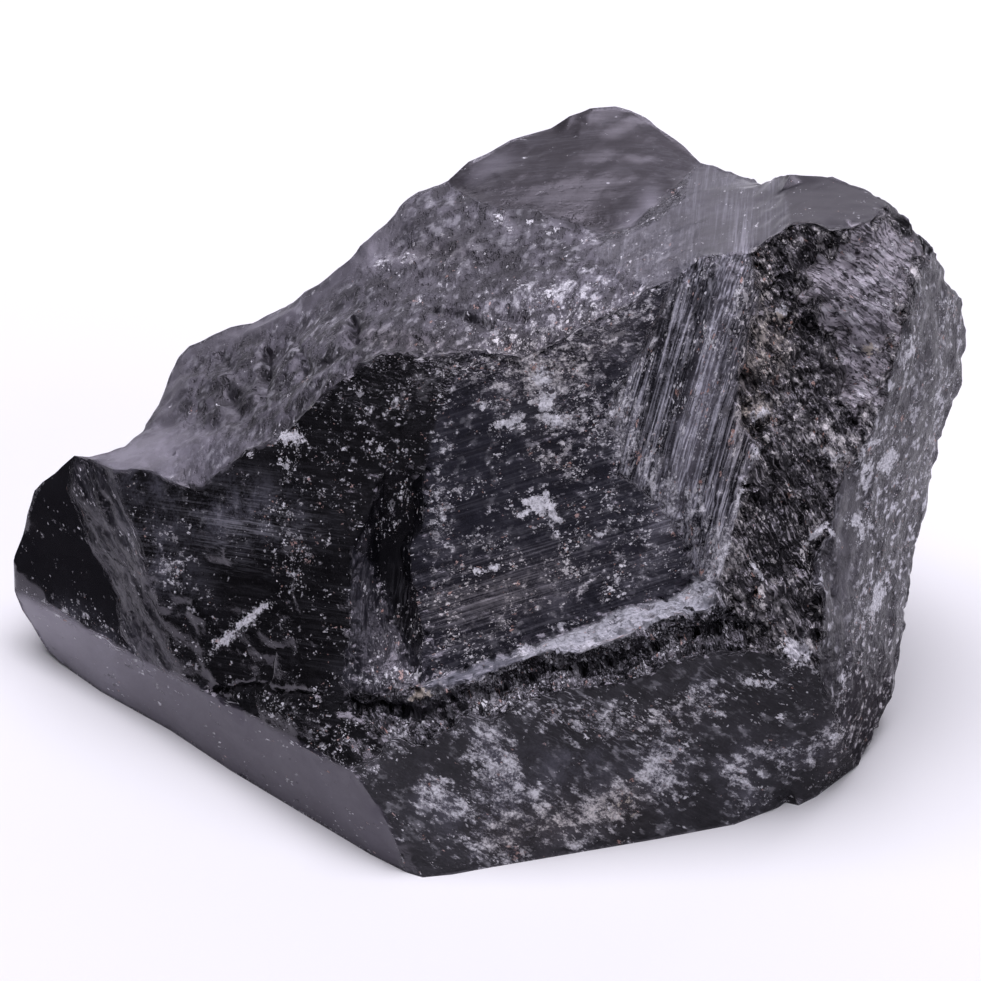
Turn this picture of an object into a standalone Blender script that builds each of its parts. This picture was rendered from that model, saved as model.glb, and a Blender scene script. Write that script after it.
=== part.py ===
# A hand-sized lump of black tourmaline grown together with quartz, broken on every side.
#
# The corners are surveyed from one standpoint in front of the stone. Each is written as
# (across, up, out) in millimetres: across and up are read on a sighting plane that stands
# square to the line of sight, and out is how far the corner lies from that plane towards
# the eye. A corner on the ground has no third number, because the ground fixes it.

import math

import bmesh
import bpy
from mathutils import Vector, geometry, noise

MM = 0.001

# Where the survey stands.
EYE_DISTANCE = 300.0
EYE_ELEVATION = math.radians(35.0)
PLANE_HEIGHT = 16.0

# How finely the surface is meshed: the length of a triangle's side, and how far it may
# be over or under that before it is split or merged.
EDGE = 1.05
FOOT_EDGE = 5.0
LONGEST = 1.4
SHORTEST = 0.45
ROUNDS = 6
CHORD_LIFT = 0.6
WELD = 1e-4

# How rough each broken surface is: its middle (across, up), its reach and its depth.
ROUGH_PATCHES = [
    ((17.8, 9.0), 4.5, 0.59),
    ((16.0, 5.0), 4.0, 0.59),
    ((15.0, -0.5), 3.6, 0.53),
    ((14.6, -5.0), 3.4, 0.48),
    ((9.5, -7.4), 2.0, 0.35),
    ((5.0, -8.9), 1.6, 0.28),
    ((0.5, -10.4), 2.0, 0.35),
    ((-5.5, -11.8), 3.0, 0.42),
    ((-10.5, -9.5), 3.6, 0.36),
    ((-11.5, -2.5), 5.5, 0.28),
    ((-6.0, 4.2), 3.2, 0.39),
    ((1.2, 4.6), 3.0, 0.20),
    ((-14.0, 4.5), 4.0, 0.48),
    ((-9.5, 7.0), 4.5, 0.50),
    ((-3.0, 11.0), 5.0, 0.50),
    ((3.0, 10.5), 4.0, 0.39),
]
SMOOTH_ROUGHNESS = 0.07
RIGHT_ROUGHNESS = 0.2
RIGHT_FACE_START = 19.5
FAR_ROUGHNESS = 0.6
OUTLINE_REACH = 0.5

# The lumps: how wide they are, and how high the small ones and those on a crease are.
LUMP_SIZE = 3.4
GRIT_SIZE = 1.5
GRIT_SHARE = 0.6
CREASE_SHARE = 0.5
FOOT_CLEARANCE = 0.02

# The outline as it is seen from the standpoint, clockwise from the left tip.
OUTLINE_LEFT = [
    (-23.8, -4.1, -14.0),
    (-23.2, -2.0, -13.4),
    (-22.6, -0.1, -12.6),
    (-21.6, 0.95, -11.8),
    (-20.8, 1.74, -11.0),
    (-20.05, 1.57, -10.6),
    (-19.1, 1.9, -11.4),
    (-18.3, 2.2, -12.0),
    (-17.4, 3.0, -13.6),
    (-16.6, 4.2, -15.4),
    (-16.0, 6.1, -17.4),
    (-15.0, 7.15, -17.8),
    (-13.0, 8.1, -17.4),
    (-10.9, 9.0, -16.0),
    (-9.9, 9.4, -15.0),
    (-8.6, 10.3, -13.6),
    (-7.0, 11.6, -12.8),
    (-6.5, 12.2, -13.0),
    (-5.0, 13.5, -14.0),
    (-4.5, 14.1, -14.6),
    (-3.5, 14.8, -15.0),
    (-2.0, 15.3, -15.2),
]
OUTLINE_TOP = [
    (-1.0, 16.3, -15.4),
    (0.0, 17.0, -15.6),
    (1.0, 17.5, -15.6),
    (3.0, 18.1, -15.5),
    (5.0, 19.0, -15.2),
    (6.2, 19.2, -15.0),
    (7.0, 19.1, -14.8),
    (8.0, 18.45, -14.2),
    (9.3, 17.5, -13.2),
    (10.5, 16.4, -12.2),
    (11.1, 16.2, -11.8),
    (12.9, 15.6, -10.2),
    (13.9, 15.47, -8.8),
    (14.3, 15.7, -6.6),
    (15.0, 15.8, -4.8),
    (17.1, 15.7, -4.6),
    (18.0, 15.3, -4.0),
    (18.9, 14.95, -3.4),
    (20.0, 14.4, -2.5),
]
OUTLINE_RIGHT = [
    (21.0, 13.4, -2.2),
    (22.2, 12.1, -3.0),
    (22.7, 11.1, -4.2),
    (22.7, 10.5, -4.8),
    (23.4, 9.5, -6.2),
    (23.65, 7.5, -7.0),
    (23.5, 6.6, -7.0),
    (23.1, 4.5, -7.0),
    (22.4, 2.5, -7.0),
    (22.0, 0.0, -7.4),
    (21.3, -2.5, -7.8),
    (20.8, -6.0, -8.4),
    (20.15, -9.6, -9.0),
    (19.6, -11.2, -9.0),
    (18.9, -12.8, -8.6),
]
OUTLINE_FOOT = [
    (18.3, -13.8),
    (17.5, -14.4),
    (16.3, -15.3),
    (15.4, -15.75),
    (14.75, -15.6),
    (14.4, -15.85),
    (12.2, -16.7),
    (8.5, -17.4),
    (5.0, -18.0),
    (0.0, -18.85),
    (-1.9, -19.2),
    (-3.4, -19.35),
    (-4.2, -19.1),
    (-6.0, -18.2),
    (-8.0, -17.0),
    (-9.5, -16.1),
    (-13.0, -14.0),
    (-16.0, -12.0),
    (-19.5, -10.05),
    (-21.0, -9.0),
]
OUTLINE_HEEL = [
    (-22.1, -8.0, -15.4),
    (-23.5, -6.0, -14.9),
    (-23.85, -5.0, -14.4),
]

OUTLINE = OUTLINE_LEFT + OUTLINE_TOP + OUTLINE_RIGHT + OUTLINE_FOOT + OUTLINE_HEEL

# Creases of the side that faces the standpoint, each a line of corners.
SMOOTH_FOOT_TOP = [
    (-23.85, -5.0, -14.4),
    (-22.0, -5.9, -12.8),
    (-20.4, -6.8, -11.5),
    (-17.4, -8.5, -9.1),
    (-15.8, -9.2, -7.7),
    (-14.4, -10.05, -6.5),
    (-12.5, -11.0, -4.9),
    (-10.5, -12.2, -3.1),
    (-8.5, -13.3, -1.3),
    (-7.0, -14.0, 0.0),
]
NEAR_CORNER = [
    (-7.0, -14.0, 0.0),
    (-6.4, -14.7, 0.2),
    (-5.4, -16.2, 0.2),
    (-4.7, -17.7, 0.1),
    (-4.2, -19.1),
]
RIDGE = [
    (-20.05, 1.57, -10.6),
    (-18.9, 1.06, -8.6),
    (-18.0, 1.1, -8.0),
    (-17.0, 1.05, -7.4),
    (-16.1, 0.5, -6.8),
    (-15.1, 0.15, -6.2),
    (-14.4, 0.2, -5.8),
    (-13.0, 1.3, -5.0),
    (-12.3, 1.9, -4.6),
    (-10.5, 2.7, -3.7),
    (-9.8, 3.3, -3.3),
    (-8.3, 4.9, -2.5),
    (-7.0, 5.8, -1.8),
    (-6.7, 6.4, -1.5),
    (-5.0, 7.0, -1.0),
]
CREST = [
    (-5.0, 7.0, -1.0),
    (-3.5, 6.7, -0.6),
    (-1.0, 7.0, -0.3),
    (1.5, 6.7, -0.1),
    (3.0, 7.3, 0.0),
    (5.2, 8.4, 0.0),
    (6.95, 9.35, 0.0),
    (7.8, 10.1, 0.0),
    (9.3, 10.6, 0.0),
    (10.5, 11.7, 0.0),
    (13.0, 11.9, 0.3),
    (14.2, 12.7, 0.4),
    (15.0, 13.3, 0.5),
    (16.2, 13.4, 0.5),
    (17.0, 13.0, 0.8),
    (18.0, 13.15, 0.7),
    (19.0, 13.5, 0.3),
    (20.0, 14.4, -2.5),
]
SHOULDER_EDGE = [
    (14.3, 15.7, -6.6),
    (14.8, 14.3, -2.4),
    (15.0, 13.3, 0.5),
]
LEFT_CHEEK = [
    (-20.8, 1.74, -11.0),
    (-21.0, 0.2, -11.2),
    (-20.5, -1.3, -11.0),
    (-19.7, -3.0, -10.6),
    (-18.6, -5.3, -10.2),
    (-18.4, -7.2, -9.9),
    (-17.4, -8.5, -9.1),
]
LEFT_BAND = [
    (-18.9, 1.06, -8.6),
    (-18.3, -1.0, -8.2),
    (-17.6, -2.5, -7.9),
    (-16.8, -5.5, -7.6),
    (-16.2, -7.5, -7.7),
    (-15.8, -9.2, -7.7),
]
WEDGE_LEFT = [
    (-5.3, 1.06, -1.2),
    (-6.1, -1.2, -1.0),
    (-6.9, -2.9, -0.9),
    (-6.95, -5.0, -0.9),
    (-7.0, -7.0, -0.9),
    (-7.3, -9.5, -1.0),
    (-5.8, -10.2, -0.9),
    (-3.5, -9.85, -0.8),
]
CHANNEL_LEFT = [
    (-5.3, 1.06, -1.2),
    (-5.3, -1.0, -1.9),
    (-5.6, -3.6, -2.3),
    (-5.3, -5.3, -2.5),
    (-4.8, -6.6, -2.4),
    (-4.1, -8.1, -1.9),
    (-3.5, -9.85, -0.8),
]
CHANNEL_RIGHT = [
    (-5.3, 1.06, -1.2),
    (-3.9, 0.4, -1.5),
    (-3.85, -1.6, -1.9),
    (-4.5, -2.9, -2.2),
    (-4.4, -4.3, -2.2),
    (-4.0, -6.0, -2.0),
    (-3.7, -7.4, -1.6),
    (-3.5, -9.85, -0.8),
]
PANEL_LEFT = [
    (-1.0, 7.0, -0.3),
    (-2.4, 4.3, -0.6),
    (-2.9, 2.4, -0.9),
    (-3.3, 1.0, -1.1),
    (-3.4, -1.6, -1.2),
    (-4.0, -2.8, -1.3),
    (-4.0, -4.1, -1.4),
    (-3.6, -6.0, -1.4),
    (-3.3, -7.4, -1.3),
    (-3.5, -9.85, -0.8),
]
LEDGE_TOP = [
    (-3.5, -9.85, -0.8),
    (-2.0, -9.2, -1.1),
    (0.0, -8.5, -1.2),
    (2.2, -7.8, -1.3),
    (4.0, -7.1, -1.3),
    (5.4, -6.6, -1.4),
    (6.85, -5.8, -1.4),
    (8.6, -5.55, -1.4),
    (10.0, -4.85, -1.3),
    (10.2, -4.2, -1.1),
    (11.0, -4.1, -0.4),
    (11.3, -4.6, 0.1),
]
LEDGE_FRONT = [
    (-3.5, -9.85, -0.8),
    (-1.0, -9.4, -0.2),
    (1.2, -8.6, 0.0),
    (3.0, -8.0, 0.1),
    (4.6, -8.1, 0.3),
    (7.1, -7.1, 0.3),
    (8.6, -6.4, 0.3),
    (9.6, -6.15, 0.4),
    (11.1, -5.9, 0.5),
    (11.3, -4.6, 0.1),
]
WALL_LEFT = [
    (9.3, 10.6, 0.0),
    (8.0, 8.0, -0.3),
    (6.9, 6.0, -0.6),
    (6.2, 5.0, -0.8),
    (6.0, 3.2, -0.9),
    (6.6, 2.2, -0.9),
    (6.4, 0.9, -1.0),
    (8.0, -0.4, -1.1),
    (8.9, -1.1, -1.1),
    (9.5, -2.2, -1.2),
    (10.2, -4.2, -1.1),
]
WALL_RIGHT = [
    (13.0, 11.9, 0.3),
    (13.4, 10.0, 0.6),
    (13.0, 8.0, 0.8),
    (12.4, 5.6, 0.8),
    (12.6, 3.4, 1.0),
    (13.4, 2.1, 1.2),
    (12.6, 0.15, 1.1),
    (12.0, -2.45, 0.8),
    (11.3, -4.6, 0.1),
]
RIGHT_EDGE = [
    (22.2, 12.1, -3.0),
    (21.5, 10.9, -0.9),
    (21.2, 9.5, -0.4),
    (20.6, 8.0, 0.0),
    (20.2, 6.5, 0.2),
    (19.9, 5.0, 0.3),
    (19.3, 4.0, 0.4),
    (19.2, 3.0, 0.4),
    (18.5, 1.9, 0.5),
    (17.75, 1.25, 0.5),
    (17.2, -0.7, 0.5),
    (17.0, -2.2, 0.4),
    (16.0, -3.5, 0.4),
    (16.1, -4.5, 0.3),
    (16.9, -5.1, 0.0),
    (16.65, -6.6, 0.0),
    (16.3, -8.8, -0.3),
    (17.0, -10.5, -1.6),
    (17.8, -12.5, -4.6),
    (18.3, -13.8),
]
FRONT_TOP = [
    (16.3, -8.8, -0.3),
    (14.5, -8.3, 0.0),
    (12.7, -8.0, 0.2),
    (11.0, -8.1, 0.3),
    (8.9, -8.55, 0.5),
    (7.8, -9.2, 0.6),
    (6.2, -9.65, 0.7),
    (3.5, -10.0, 0.8),
    (2.0, -10.4, 0.8),
    (0.0, -11.5, 0.8),
    (-1.5, -11.1, 0.7),
    (-2.0, -11.9, 0.7),
    (-3.4, -12.7, 0.6),
    (-5.2, -12.35, 0.2),
    (-5.7, -13.3, 0.1),
    (-7.0, -14.0, 0.0),
]
UNDERCUT = [
    (-7.3, -9.5, -1.0),
    (-6.9, -10.9, -1.4),
    (-5.0, -11.0, -1.1),
    (-3.9, -11.2, -0.8),
    (-1.6, -10.5, -0.6),
    (1.0, -9.8, -0.6),
    (3.0, -9.0, -0.5),
    (5.0, -8.9, -0.4),
    (7.0, -8.3, -0.4),
    (9.0, -7.5, -0.4),
    (11.0, -6.9, -0.3),
    (13.0, -6.6, -0.4),
]
DOME_EDGE = [
    (-2.0, 15.3, -15.2),
    (-0.5, 14.4, -12.4),
    (2.0, 14.0, -11.2),
    (4.5, 13.3, -9.8),
    (5.5, 12.9, -9.0),
    (7.0, 13.3, -8.6),
    (8.0, 14.2, -9.0),
    (9.2, 15.3, -10.2),
    (10.5, 16.4, -12.2),
]
BACK_CREST = [
    (5.5, 12.9, -9.0),
    (7.0, 12.5, -6.6),
    (8.5, 13.4, -7.0),
    (9.7, 14.5, -8.0),
    (11.1, 14.6, -7.4),
    (13.0, 15.1, -7.4),
    (13.9, 15.47, -8.8),
]
FRONT_CREASES = [
    SMOOTH_FOOT_TOP,
    NEAR_CORNER,
    RIDGE,
    CREST,
    SHOULDER_EDGE,
    LEFT_CHEEK,
    LEFT_BAND,
    WEDGE_LEFT,
    CHANNEL_LEFT,
    CHANNEL_RIGHT,
    PANEL_LEFT,
    LEDGE_TOP,
    LEDGE_FRONT,
    WALL_LEFT,
    WALL_RIGHT,
    RIGHT_EDGE,
    FRONT_TOP,
    UNDERCUT,
    DOME_EDGE,
    BACK_CREST,
]

# Single corners between the creases: lumps, hollows and the sag of each surface.
TOP_LUMPS = [
    (-15.6, 2.9, -10.6),
    (-14.4, 5.0, -13.2),
    (-13.2, 3.6, -9.0),
    (-12.4, 5.2, -10.4),
    (-12.0, 7.0, -14.4),
    (-10.9, 4.6, -7.2),
    (-10.5, 6.4, -10.2),
    (-9.2, 6.9, -8.0),
    (-8.8, 8.6, -11.4),
    (-7.6, 7.2, -5.0),
    (-6.6, 9.4, -8.8),
    (-5.0, 9.2, -5.6),
    (-4.6, 11.6, -10.4),
    (-2.6, 9.6, -5.2),
    (-2.4, 12.8, -10.8),
    (0.0, 9.4, -4.0),
    (0.4, 12.0, -8.6),
    (3.0, 10.4, -4.6),
    (3.4, 12.2, -7.8),
    (5.6, 11.0, -4.2),
    (8.6, 12.2, -3.6),
    (11.4, 13.1, -3.6),
    (13.4, 13.9, -4.2),
]
DOME_LUMPS = [
    (1.4, 15.7, -13.0),
    (4.0, 16.2, -12.6),
    (6.8, 16.4, -11.8),
    (8.6, 16.6, -11.9),
]
RIGHT_LUMPS = [
    (22.1, 8.0, -2.6),
    (21.6, 5.2, -2.8),
    (20.8, 2.6, -2.8),
    (19.7, -0.6, -3.2),
    (19.0, -4.2, -3.8),
    (18.6, -8.0, -4.2),
    (18.7, -11.0, -5.6),
]
CAVITY_LUMPS = [
    (14.6, 9.8, 0.9),
    (15.9, 11.6, -0.9),
    (17.4, 11.4, 0.4),
    (19.2, 11.4, 0.3),
    (20.3, 12.8, -0.6),
    (19.0, 8.8, -0.3),
    (17.1, 9.0, 0.5),
    (15.8, 7.6, -1.4),
    (14.3, 7.0, 0.8),
    (17.7, 5.6, -0.9),
    (16.3, 5.2, 0.6),
    (14.4, 4.4, 0.2),
    (17.4, 3.2, 0.5),
    (15.4, 2.2, 0.9),
    (14.2, -0.6, 0.3),
    (15.8, -1.2, 0.9),
    (13.4, -3.0, 0.9),
    (14.8, -4.6, 0.1),
    (13.2, -5.4, 0.4),
    (15.2, -6.8, 0.0),
]
FACE_SAG = [
    (-22.2, -3.6, -12.6),
    (-12.4, -3.0, -4.7),
    (-12.0, -7.4, -4.5),
    (-9.0, -2.0, -1.9),
    (-9.4, -7.6, -2.3),
    (-9.0, -10.6, -1.8),
    (-6.6, 3.4, -1.2),
    (-4.6, 4.4, -0.9),
    (1.4, 2.0, -0.9),
    (1.6, -3.6, -1.3),
    (9.8, 5.0, -0.1),
    (10.6, 0.6, -0.1),
    (3.0, -13.4, 0.3),
    (9.4, -12.4, -0.6),
    (13.6, -11.6, -1.4),
]
FRONT_CORNERS = TOP_LUMPS + DOME_LUMPS + RIGHT_LUMPS + CAVITY_LUMPS + FACE_SAG

# The far side and the back edge of the foot, as (x, y, z) from the point on the ground under
# the middle of the sighting plane.
FOOT_BACK_EDGE = [
    (-22.6, 9.5, 0.0),
    (-20.5, 13.0, 0.0),
    (-16.0, 16.5, 0.0),
    (-11.0, 18.0, 0.0),
    (-4.0, 21.0, 0.0),
    (2.0, 20.4, 0.0),
    (8.0, 21.5, 0.0),
    (13.0, 17.0, 0.0),
    (17.0, 13.5, 0.0),
    (19.2, 8.0, 0.0),
    (20.0, 4.6, 0.0),
    (19.2, 0.8, 0.0),
]
FAR_RIDGE = [
    (-23.6, 11.6, 5.0),
    (-19.5, 16.0, 5.0),
    (-12.0, 21.5, 8.0),
    (-3.0, 24.5, 12.0),
    (5.0, 26.5, 13.0),
    (13.0, 22.0, 11.0),
    (20.5, 15.0, 10.0),
    (21.8, 9.2, 9.0),
]
FAR_LUMPS = [
    (-15.5, 19.5, 9.6),
    (-7.5, 22.0, 4.5),
    (6.0, 25.5, 20.0),
    (13.0, 20.0, 19.0),
    (20.6, 14.0, 19.0),
    (22.3, 12.2, 15.5),
    (8.5, 24.5, 7.0),
    (18.5, 13.5, 4.5),
]


def from_sight(corner):
    """The point in space of a corner read on the sighting plane."""
    across, up = corner[:2]
    on_foot = len(corner) == 2
    lift = PLANE_HEIGHT + up * math.cos(EYE_ELEVATION)
    slope = math.sin(EYE_ELEVATION) - up * math.cos(EYE_ELEVATION) / EYE_DISTANCE
    out = -lift / slope if on_foot else corner[2]
    spread = 1.0 - out / EYE_DISTANCE
    up_seen = up * spread
    y = up_seen * math.sin(EYE_ELEVATION) - out * math.cos(EYE_ELEVATION)
    z = up_seen * math.cos(EYE_ELEVATION) + out * math.sin(EYE_ELEVATION) + PLANE_HEIGHT
    return Vector((across * spread, y, 0.0 if on_foot else z))


def to_sight(point):
    """Where a point in space is read on the sighting plane."""
    height = point.z - PLANE_HEIGHT
    up_seen = point.y * math.sin(EYE_ELEVATION) + height * math.cos(EYE_ELEVATION)
    out = height * math.sin(EYE_ELEVATION) - point.y * math.cos(EYE_ELEVATION)
    spread = 1.0 - out / EYE_DISTANCE
    return Vector((point.x / spread, up_seen / spread))


def surveyed_points():
    """The facing side's creases and single corners, each with its place on the plane."""
    lines = [[(corner[:2], from_sight(corner)) for corner in line] for line in FRONT_CREASES]
    singles = [(corner[:2], from_sight(corner)) for corner in FRONT_CORNERS]
    return lines, singles


def hidden_points():
    """The same for the far side and the foot, whose corners are given in space."""
    placed = {
        point: (tuple(to_sight(Vector(point))), Vector(point))
        for point in FOOT_BACK_EDGE + FAR_RIDGE + FAR_LUMPS
    }
    start = OUTLINE_FOOT[-1]
    end = OUTLINE_FOOT[0]
    foot_line = [placed[point] for point in FOOT_BACK_EDGE]
    foot_line = [(start, from_sight(start))] + foot_line + [(end, from_sight(end))]
    lines = [foot_line, [placed[point] for point in FAR_RIDGE]]
    return lines, [placed[point] for point in FAR_LUMPS]


def is_free(vert):
    """True of a corner that lies off the ground and on no crease."""
    return vert.co.z > WELD and all(edge.smooth for edge in vert.link_edges)


def on_ground(edge):
    return all(vert.co.z < WELD for vert in edge.verts)


def is_chord(edge):
    """True of an inner edge that runs straight from outline to outline."""
    return not edge.is_boundary and all(vert.is_boundary for vert in edge.verts)


def add_faces(mesh, lines, singles, towards_eye):
    """Triangles through every corner, inside the outline and along every crease."""
    places = [corner[:2] for corner in OUTLINE]
    verts = [mesh.verts.new(from_sight(corner)) for corner in OUTLINE]
    index = {place: number for number, place in enumerate(places)}
    around = list(range(len(OUTLINE)))
    creases = list(zip(around, around[1:] + around[:1]))
    for line in lines + [[single] for single in singles]:
        numbers = []
        for place, point in line:
            if place not in index:
                index[place] = len(places)
                places.append(place)
                verts.append(mesh.verts.new(point))
            numbers.append(index[place])
        creases += zip(numbers, numbers[1:])
    flat = [Vector(place) for place in places]
    spots, _, faces, _, _, _ = geometry.delaunay_2d_cdt(flat, creases, [around], 1, WELD)
    assert len(spots) == len(places), "two creases cross, or two corners share a place"
    for face in faces:
        a, b, c = (flat[number] for number in face)
        left_turn = (b - a).cross(c - a) > 0.0
        order = face if left_turn == towards_eye else face[::-1]
        mesh.faces.new([verts[number] for number in order])
    for first, second in creases:
        mesh.edges.get((verts[first], verts[second])).smooth = False


def build_side(corners, towards_eye, chord_push):
    """One side of the stone, whose chords bend, so that the two sides meet at the outline only."""
    mesh = bmesh.new()
    add_faces(mesh, *corners, towards_eye)
    chords = [edge for edge in mesh.edges if is_chord(edge) and on_ground(edge) == towards_eye]
    made = bmesh.ops.subdivide_edges(mesh, edges=chords, cuts=1)["geom_inner"]
    bmesh.ops.triangulate(mesh, faces=mesh.faces[:])
    for vert in made:
        if isinstance(vert, bmesh.types.BMVert):
            vert.co += chord_push
    data = bpy.data.meshes.new("side")
    mesh.to_mesh(data)
    mesh.free()
    return data


def build_hull():
    """The stone's flat facets, closed all round."""
    up = Vector((0.0, 0.0, CHORD_LIFT))
    away = Vector((0.0, math.cos(EYE_ELEVATION), -math.sin(EYE_ELEVATION))) * CHORD_LIFT
    sides = [
        build_side(surveyed_points(), True, up),
        build_side(hidden_points(), False, away),
    ]
    mesh = bmesh.new()
    for side in sides:
        mesh.from_mesh(side)
        bpy.data.meshes.remove(side)
    rims = [vert for vert in mesh.verts if vert.is_boundary]
    bmesh.ops.remove_doubles(mesh, verts=rims, dist=WELD)
    return mesh


def too_long(edge):
    limit = FOOT_EDGE if on_ground(edge) and edge.smooth else EDGE
    return edge.calc_length() > LONGEST * limit


def too_short(edge):
    return edge.calc_length() < SHORTEST * EDGE and all(is_free(vert) for vert in edge.verts)


def refine(mesh):
    """Even triangles, with the creases kept as they are."""
    for _ in range(ROUNDS):
        split = [edge for edge in mesh.edges if too_long(edge)]
        bmesh.ops.subdivide_edges(mesh, edges=split, cuts=1)
        bmesh.ops.triangulate(mesh, faces=mesh.faces[:])
        bmesh.ops.collapse(mesh, edges=[edge for edge in mesh.edges if too_short(edge)])
        loose = [edge for edge in mesh.edges if edge.smooth]
        bmesh.ops.beautify_fill(mesh, faces=mesh.faces[:], edges=loose, method="ANGLE")
        bmesh.ops.smooth_vert(
            mesh,
            verts=[vert for vert in mesh.verts if is_free(vert)],
            factor=0.5,
            use_axis_x=True,
            use_axis_y=True,
            use_axis_z=True,
        )


def roughness_at(place, facing):
    """How far the surface swells or sinks at a place on the plane."""
    if not facing:
        return FAR_ROUGHNESS
    if min((place - Vector(corner[:2])).length for corner in OUTLINE) < OUTLINE_REACH:
        return SMOOTH_ROUGHNESS
    deepest = RIGHT_ROUGHNESS if place.x > RIGHT_FACE_START else SMOOTH_ROUGHNESS
    for middle, reach, depth in ROUGH_PATCHES:
        nearness = 1.0 - (place - Vector(middle)).length / reach
        deepest = max(deepest, depth * min(1.0, 2.0 * nearness))
    return deepest


def roughen(mesh):
    """Breaks up the facets with lumps, each facet to its own roughness."""
    eye = Vector((0.0, -math.cos(EYE_ELEVATION), math.sin(EYE_ELEVATION))) * EYE_DISTANCE
    eye.z += PLANE_HEIGHT
    mesh.normal_update()
    moves = []
    for vert in mesh.verts:
        if vert.co.z < WELD:
            continue
        facing = vert.normal.dot(eye - vert.co) > 0.0
        depth = roughness_at(to_sight(vert.co), facing)
        if not is_free(vert):
            depth *= CREASE_SHARE
        lump = noise.noise(vert.co / LUMP_SIZE) + GRIT_SHARE * noise.noise(vert.co / GRIT_SIZE)
        moves.append((vert, vert.normal * depth * lump))
    for vert, move in moves:
        vert.co += move
        vert.co.z = max(vert.co.z, FOOT_CLEARANCE)


def centre(mesh):
    """Stands the stone with the middle of its box over the origin."""
    middle = Vector((0.0, 0.0, 0.0))
    for axis in (0, 1):
        places = [vert.co[axis] for vert in mesh.verts]
        middle[axis] = (min(places) + max(places)) / 2.0
    print(f"the point under the plane's middle is at {-middle.x:.3f}, {-middle.y:.3f} mm")
    bmesh.ops.translate(mesh, verts=mesh.verts, vec=-middle)


def stone_material():
    material = bpy.data.materials.new("black_tourmaline")
    material.use_nodes = True
    surface = material.node_tree.nodes["Principled BSDF"]
    surface.inputs["Base Color"].default_value = (0.018, 0.018, 0.021, 1.0)
    surface.inputs["Roughness"].default_value = 0.3
    surface.inputs["Metallic"].default_value = 0.0
    return material


def main():
    for old in list(bpy.data.objects):
        bpy.data.objects.remove(old, do_unlink=True)
    mesh = build_hull()
    refine(mesh)
    roughen(mesh)
    centre(mesh)
    bmesh.ops.scale(mesh, verts=mesh.verts, vec=(MM, MM, MM))
    data = bpy.data.meshes.new("tourmalinated_quartz")
    mesh.to_mesh(data)
    mesh.free()
    data.materials.append(stone_material())
    stone = bpy.data.objects.new("tourmalinated_quartz", data)
    bpy.context.scene.collection.objects.link(stone)


main()
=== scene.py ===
import math

import bpy
import numpy as np
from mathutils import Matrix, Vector, kdtree, noise


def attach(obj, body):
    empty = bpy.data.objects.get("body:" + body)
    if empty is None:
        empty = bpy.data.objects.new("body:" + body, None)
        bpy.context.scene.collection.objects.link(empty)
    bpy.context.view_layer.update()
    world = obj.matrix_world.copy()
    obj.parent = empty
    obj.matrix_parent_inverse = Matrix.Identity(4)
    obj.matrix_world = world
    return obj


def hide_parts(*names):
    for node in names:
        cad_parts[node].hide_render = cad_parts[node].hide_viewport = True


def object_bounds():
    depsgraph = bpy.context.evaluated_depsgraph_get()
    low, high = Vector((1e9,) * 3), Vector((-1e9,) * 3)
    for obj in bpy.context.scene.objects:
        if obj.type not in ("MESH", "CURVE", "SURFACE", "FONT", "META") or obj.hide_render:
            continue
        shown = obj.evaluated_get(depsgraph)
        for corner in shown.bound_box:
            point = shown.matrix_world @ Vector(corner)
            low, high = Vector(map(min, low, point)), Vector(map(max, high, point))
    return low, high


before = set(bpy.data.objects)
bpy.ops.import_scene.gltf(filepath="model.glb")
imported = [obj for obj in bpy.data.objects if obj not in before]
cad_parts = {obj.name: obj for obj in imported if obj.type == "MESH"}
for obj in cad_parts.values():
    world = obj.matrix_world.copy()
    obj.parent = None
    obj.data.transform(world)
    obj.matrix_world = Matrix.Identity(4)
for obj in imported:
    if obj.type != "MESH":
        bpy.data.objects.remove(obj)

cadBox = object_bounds()
mm = 0.001
noise.seed_set(7)        # the facets lean the same way in every run

# Where the stone is looked at from. Places on it are read on a sighting plane that stands
# square to the line of sight: across, up and out towards the eye, in mm.
sight = {
    "distance": 300.0,
    "elevation": 35.0,
    "centre": (0.302, -7.737, 16.0),
    "pictureWidth": 49.05,
}
tilt = math.radians(sight["elevation"])
across = np.array((1.0, 0.0, 0.0))
upward = np.array((0.0, math.sin(tilt), math.cos(tilt)))
outward = np.array((0.0, -math.cos(tilt), math.sin(tilt)))
middle = np.array(sight["centre"])
eye = middle + outward * sight["distance"]


def toSight(points):
    offset = points - middle
    spread = 1.0 - offset @ outward / sight["distance"]
    return np.stack([offset @ across / spread, offset @ upward / spread], axis=1)


# Edges between the broken faces, as (across, up) on the sighting plane.
ridge = [
    (-20.05, 1.57), (-18.9, 1.06), (-17.0, 1.05), (-16.1, 0.5), (-15.1, 0.15), (-14.4, 0.2),
    (-13.0, 1.3), (-12.3, 1.9), (-10.5, 2.7), (-9.8, 3.3), (-8.3, 4.9), (-7.0, 5.8), (-6.7, 6.4),
    (-5.0, 7.0), (-3.5, 6.7), (-1.0, 7.0),
]
crestLeft = [
    (-1.0, 7.0), (1.5, 6.7), (3.0, 7.3), (5.2, 8.4), (6.95, 9.35), (7.8, 10.1), (9.3, 10.6),
]
crestRight = [
    (13.0, 11.9), (14.2, 12.7), (15.0, 13.3), (16.2, 13.4), (17.0, 13.0), (18.0, 13.15),
    (19.0, 13.5), (20.0, 14.4),
]
footTop = [
    (-24.2, -4.8), (-22.0, -5.9), (-20.4, -6.8), (-17.4, -8.5), (-15.8, -9.2), (-14.4, -10.05),
    (-12.5, -11.0), (-10.5, -12.2), (-8.5, -13.3), (-7.0, -14.0),
]
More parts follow.
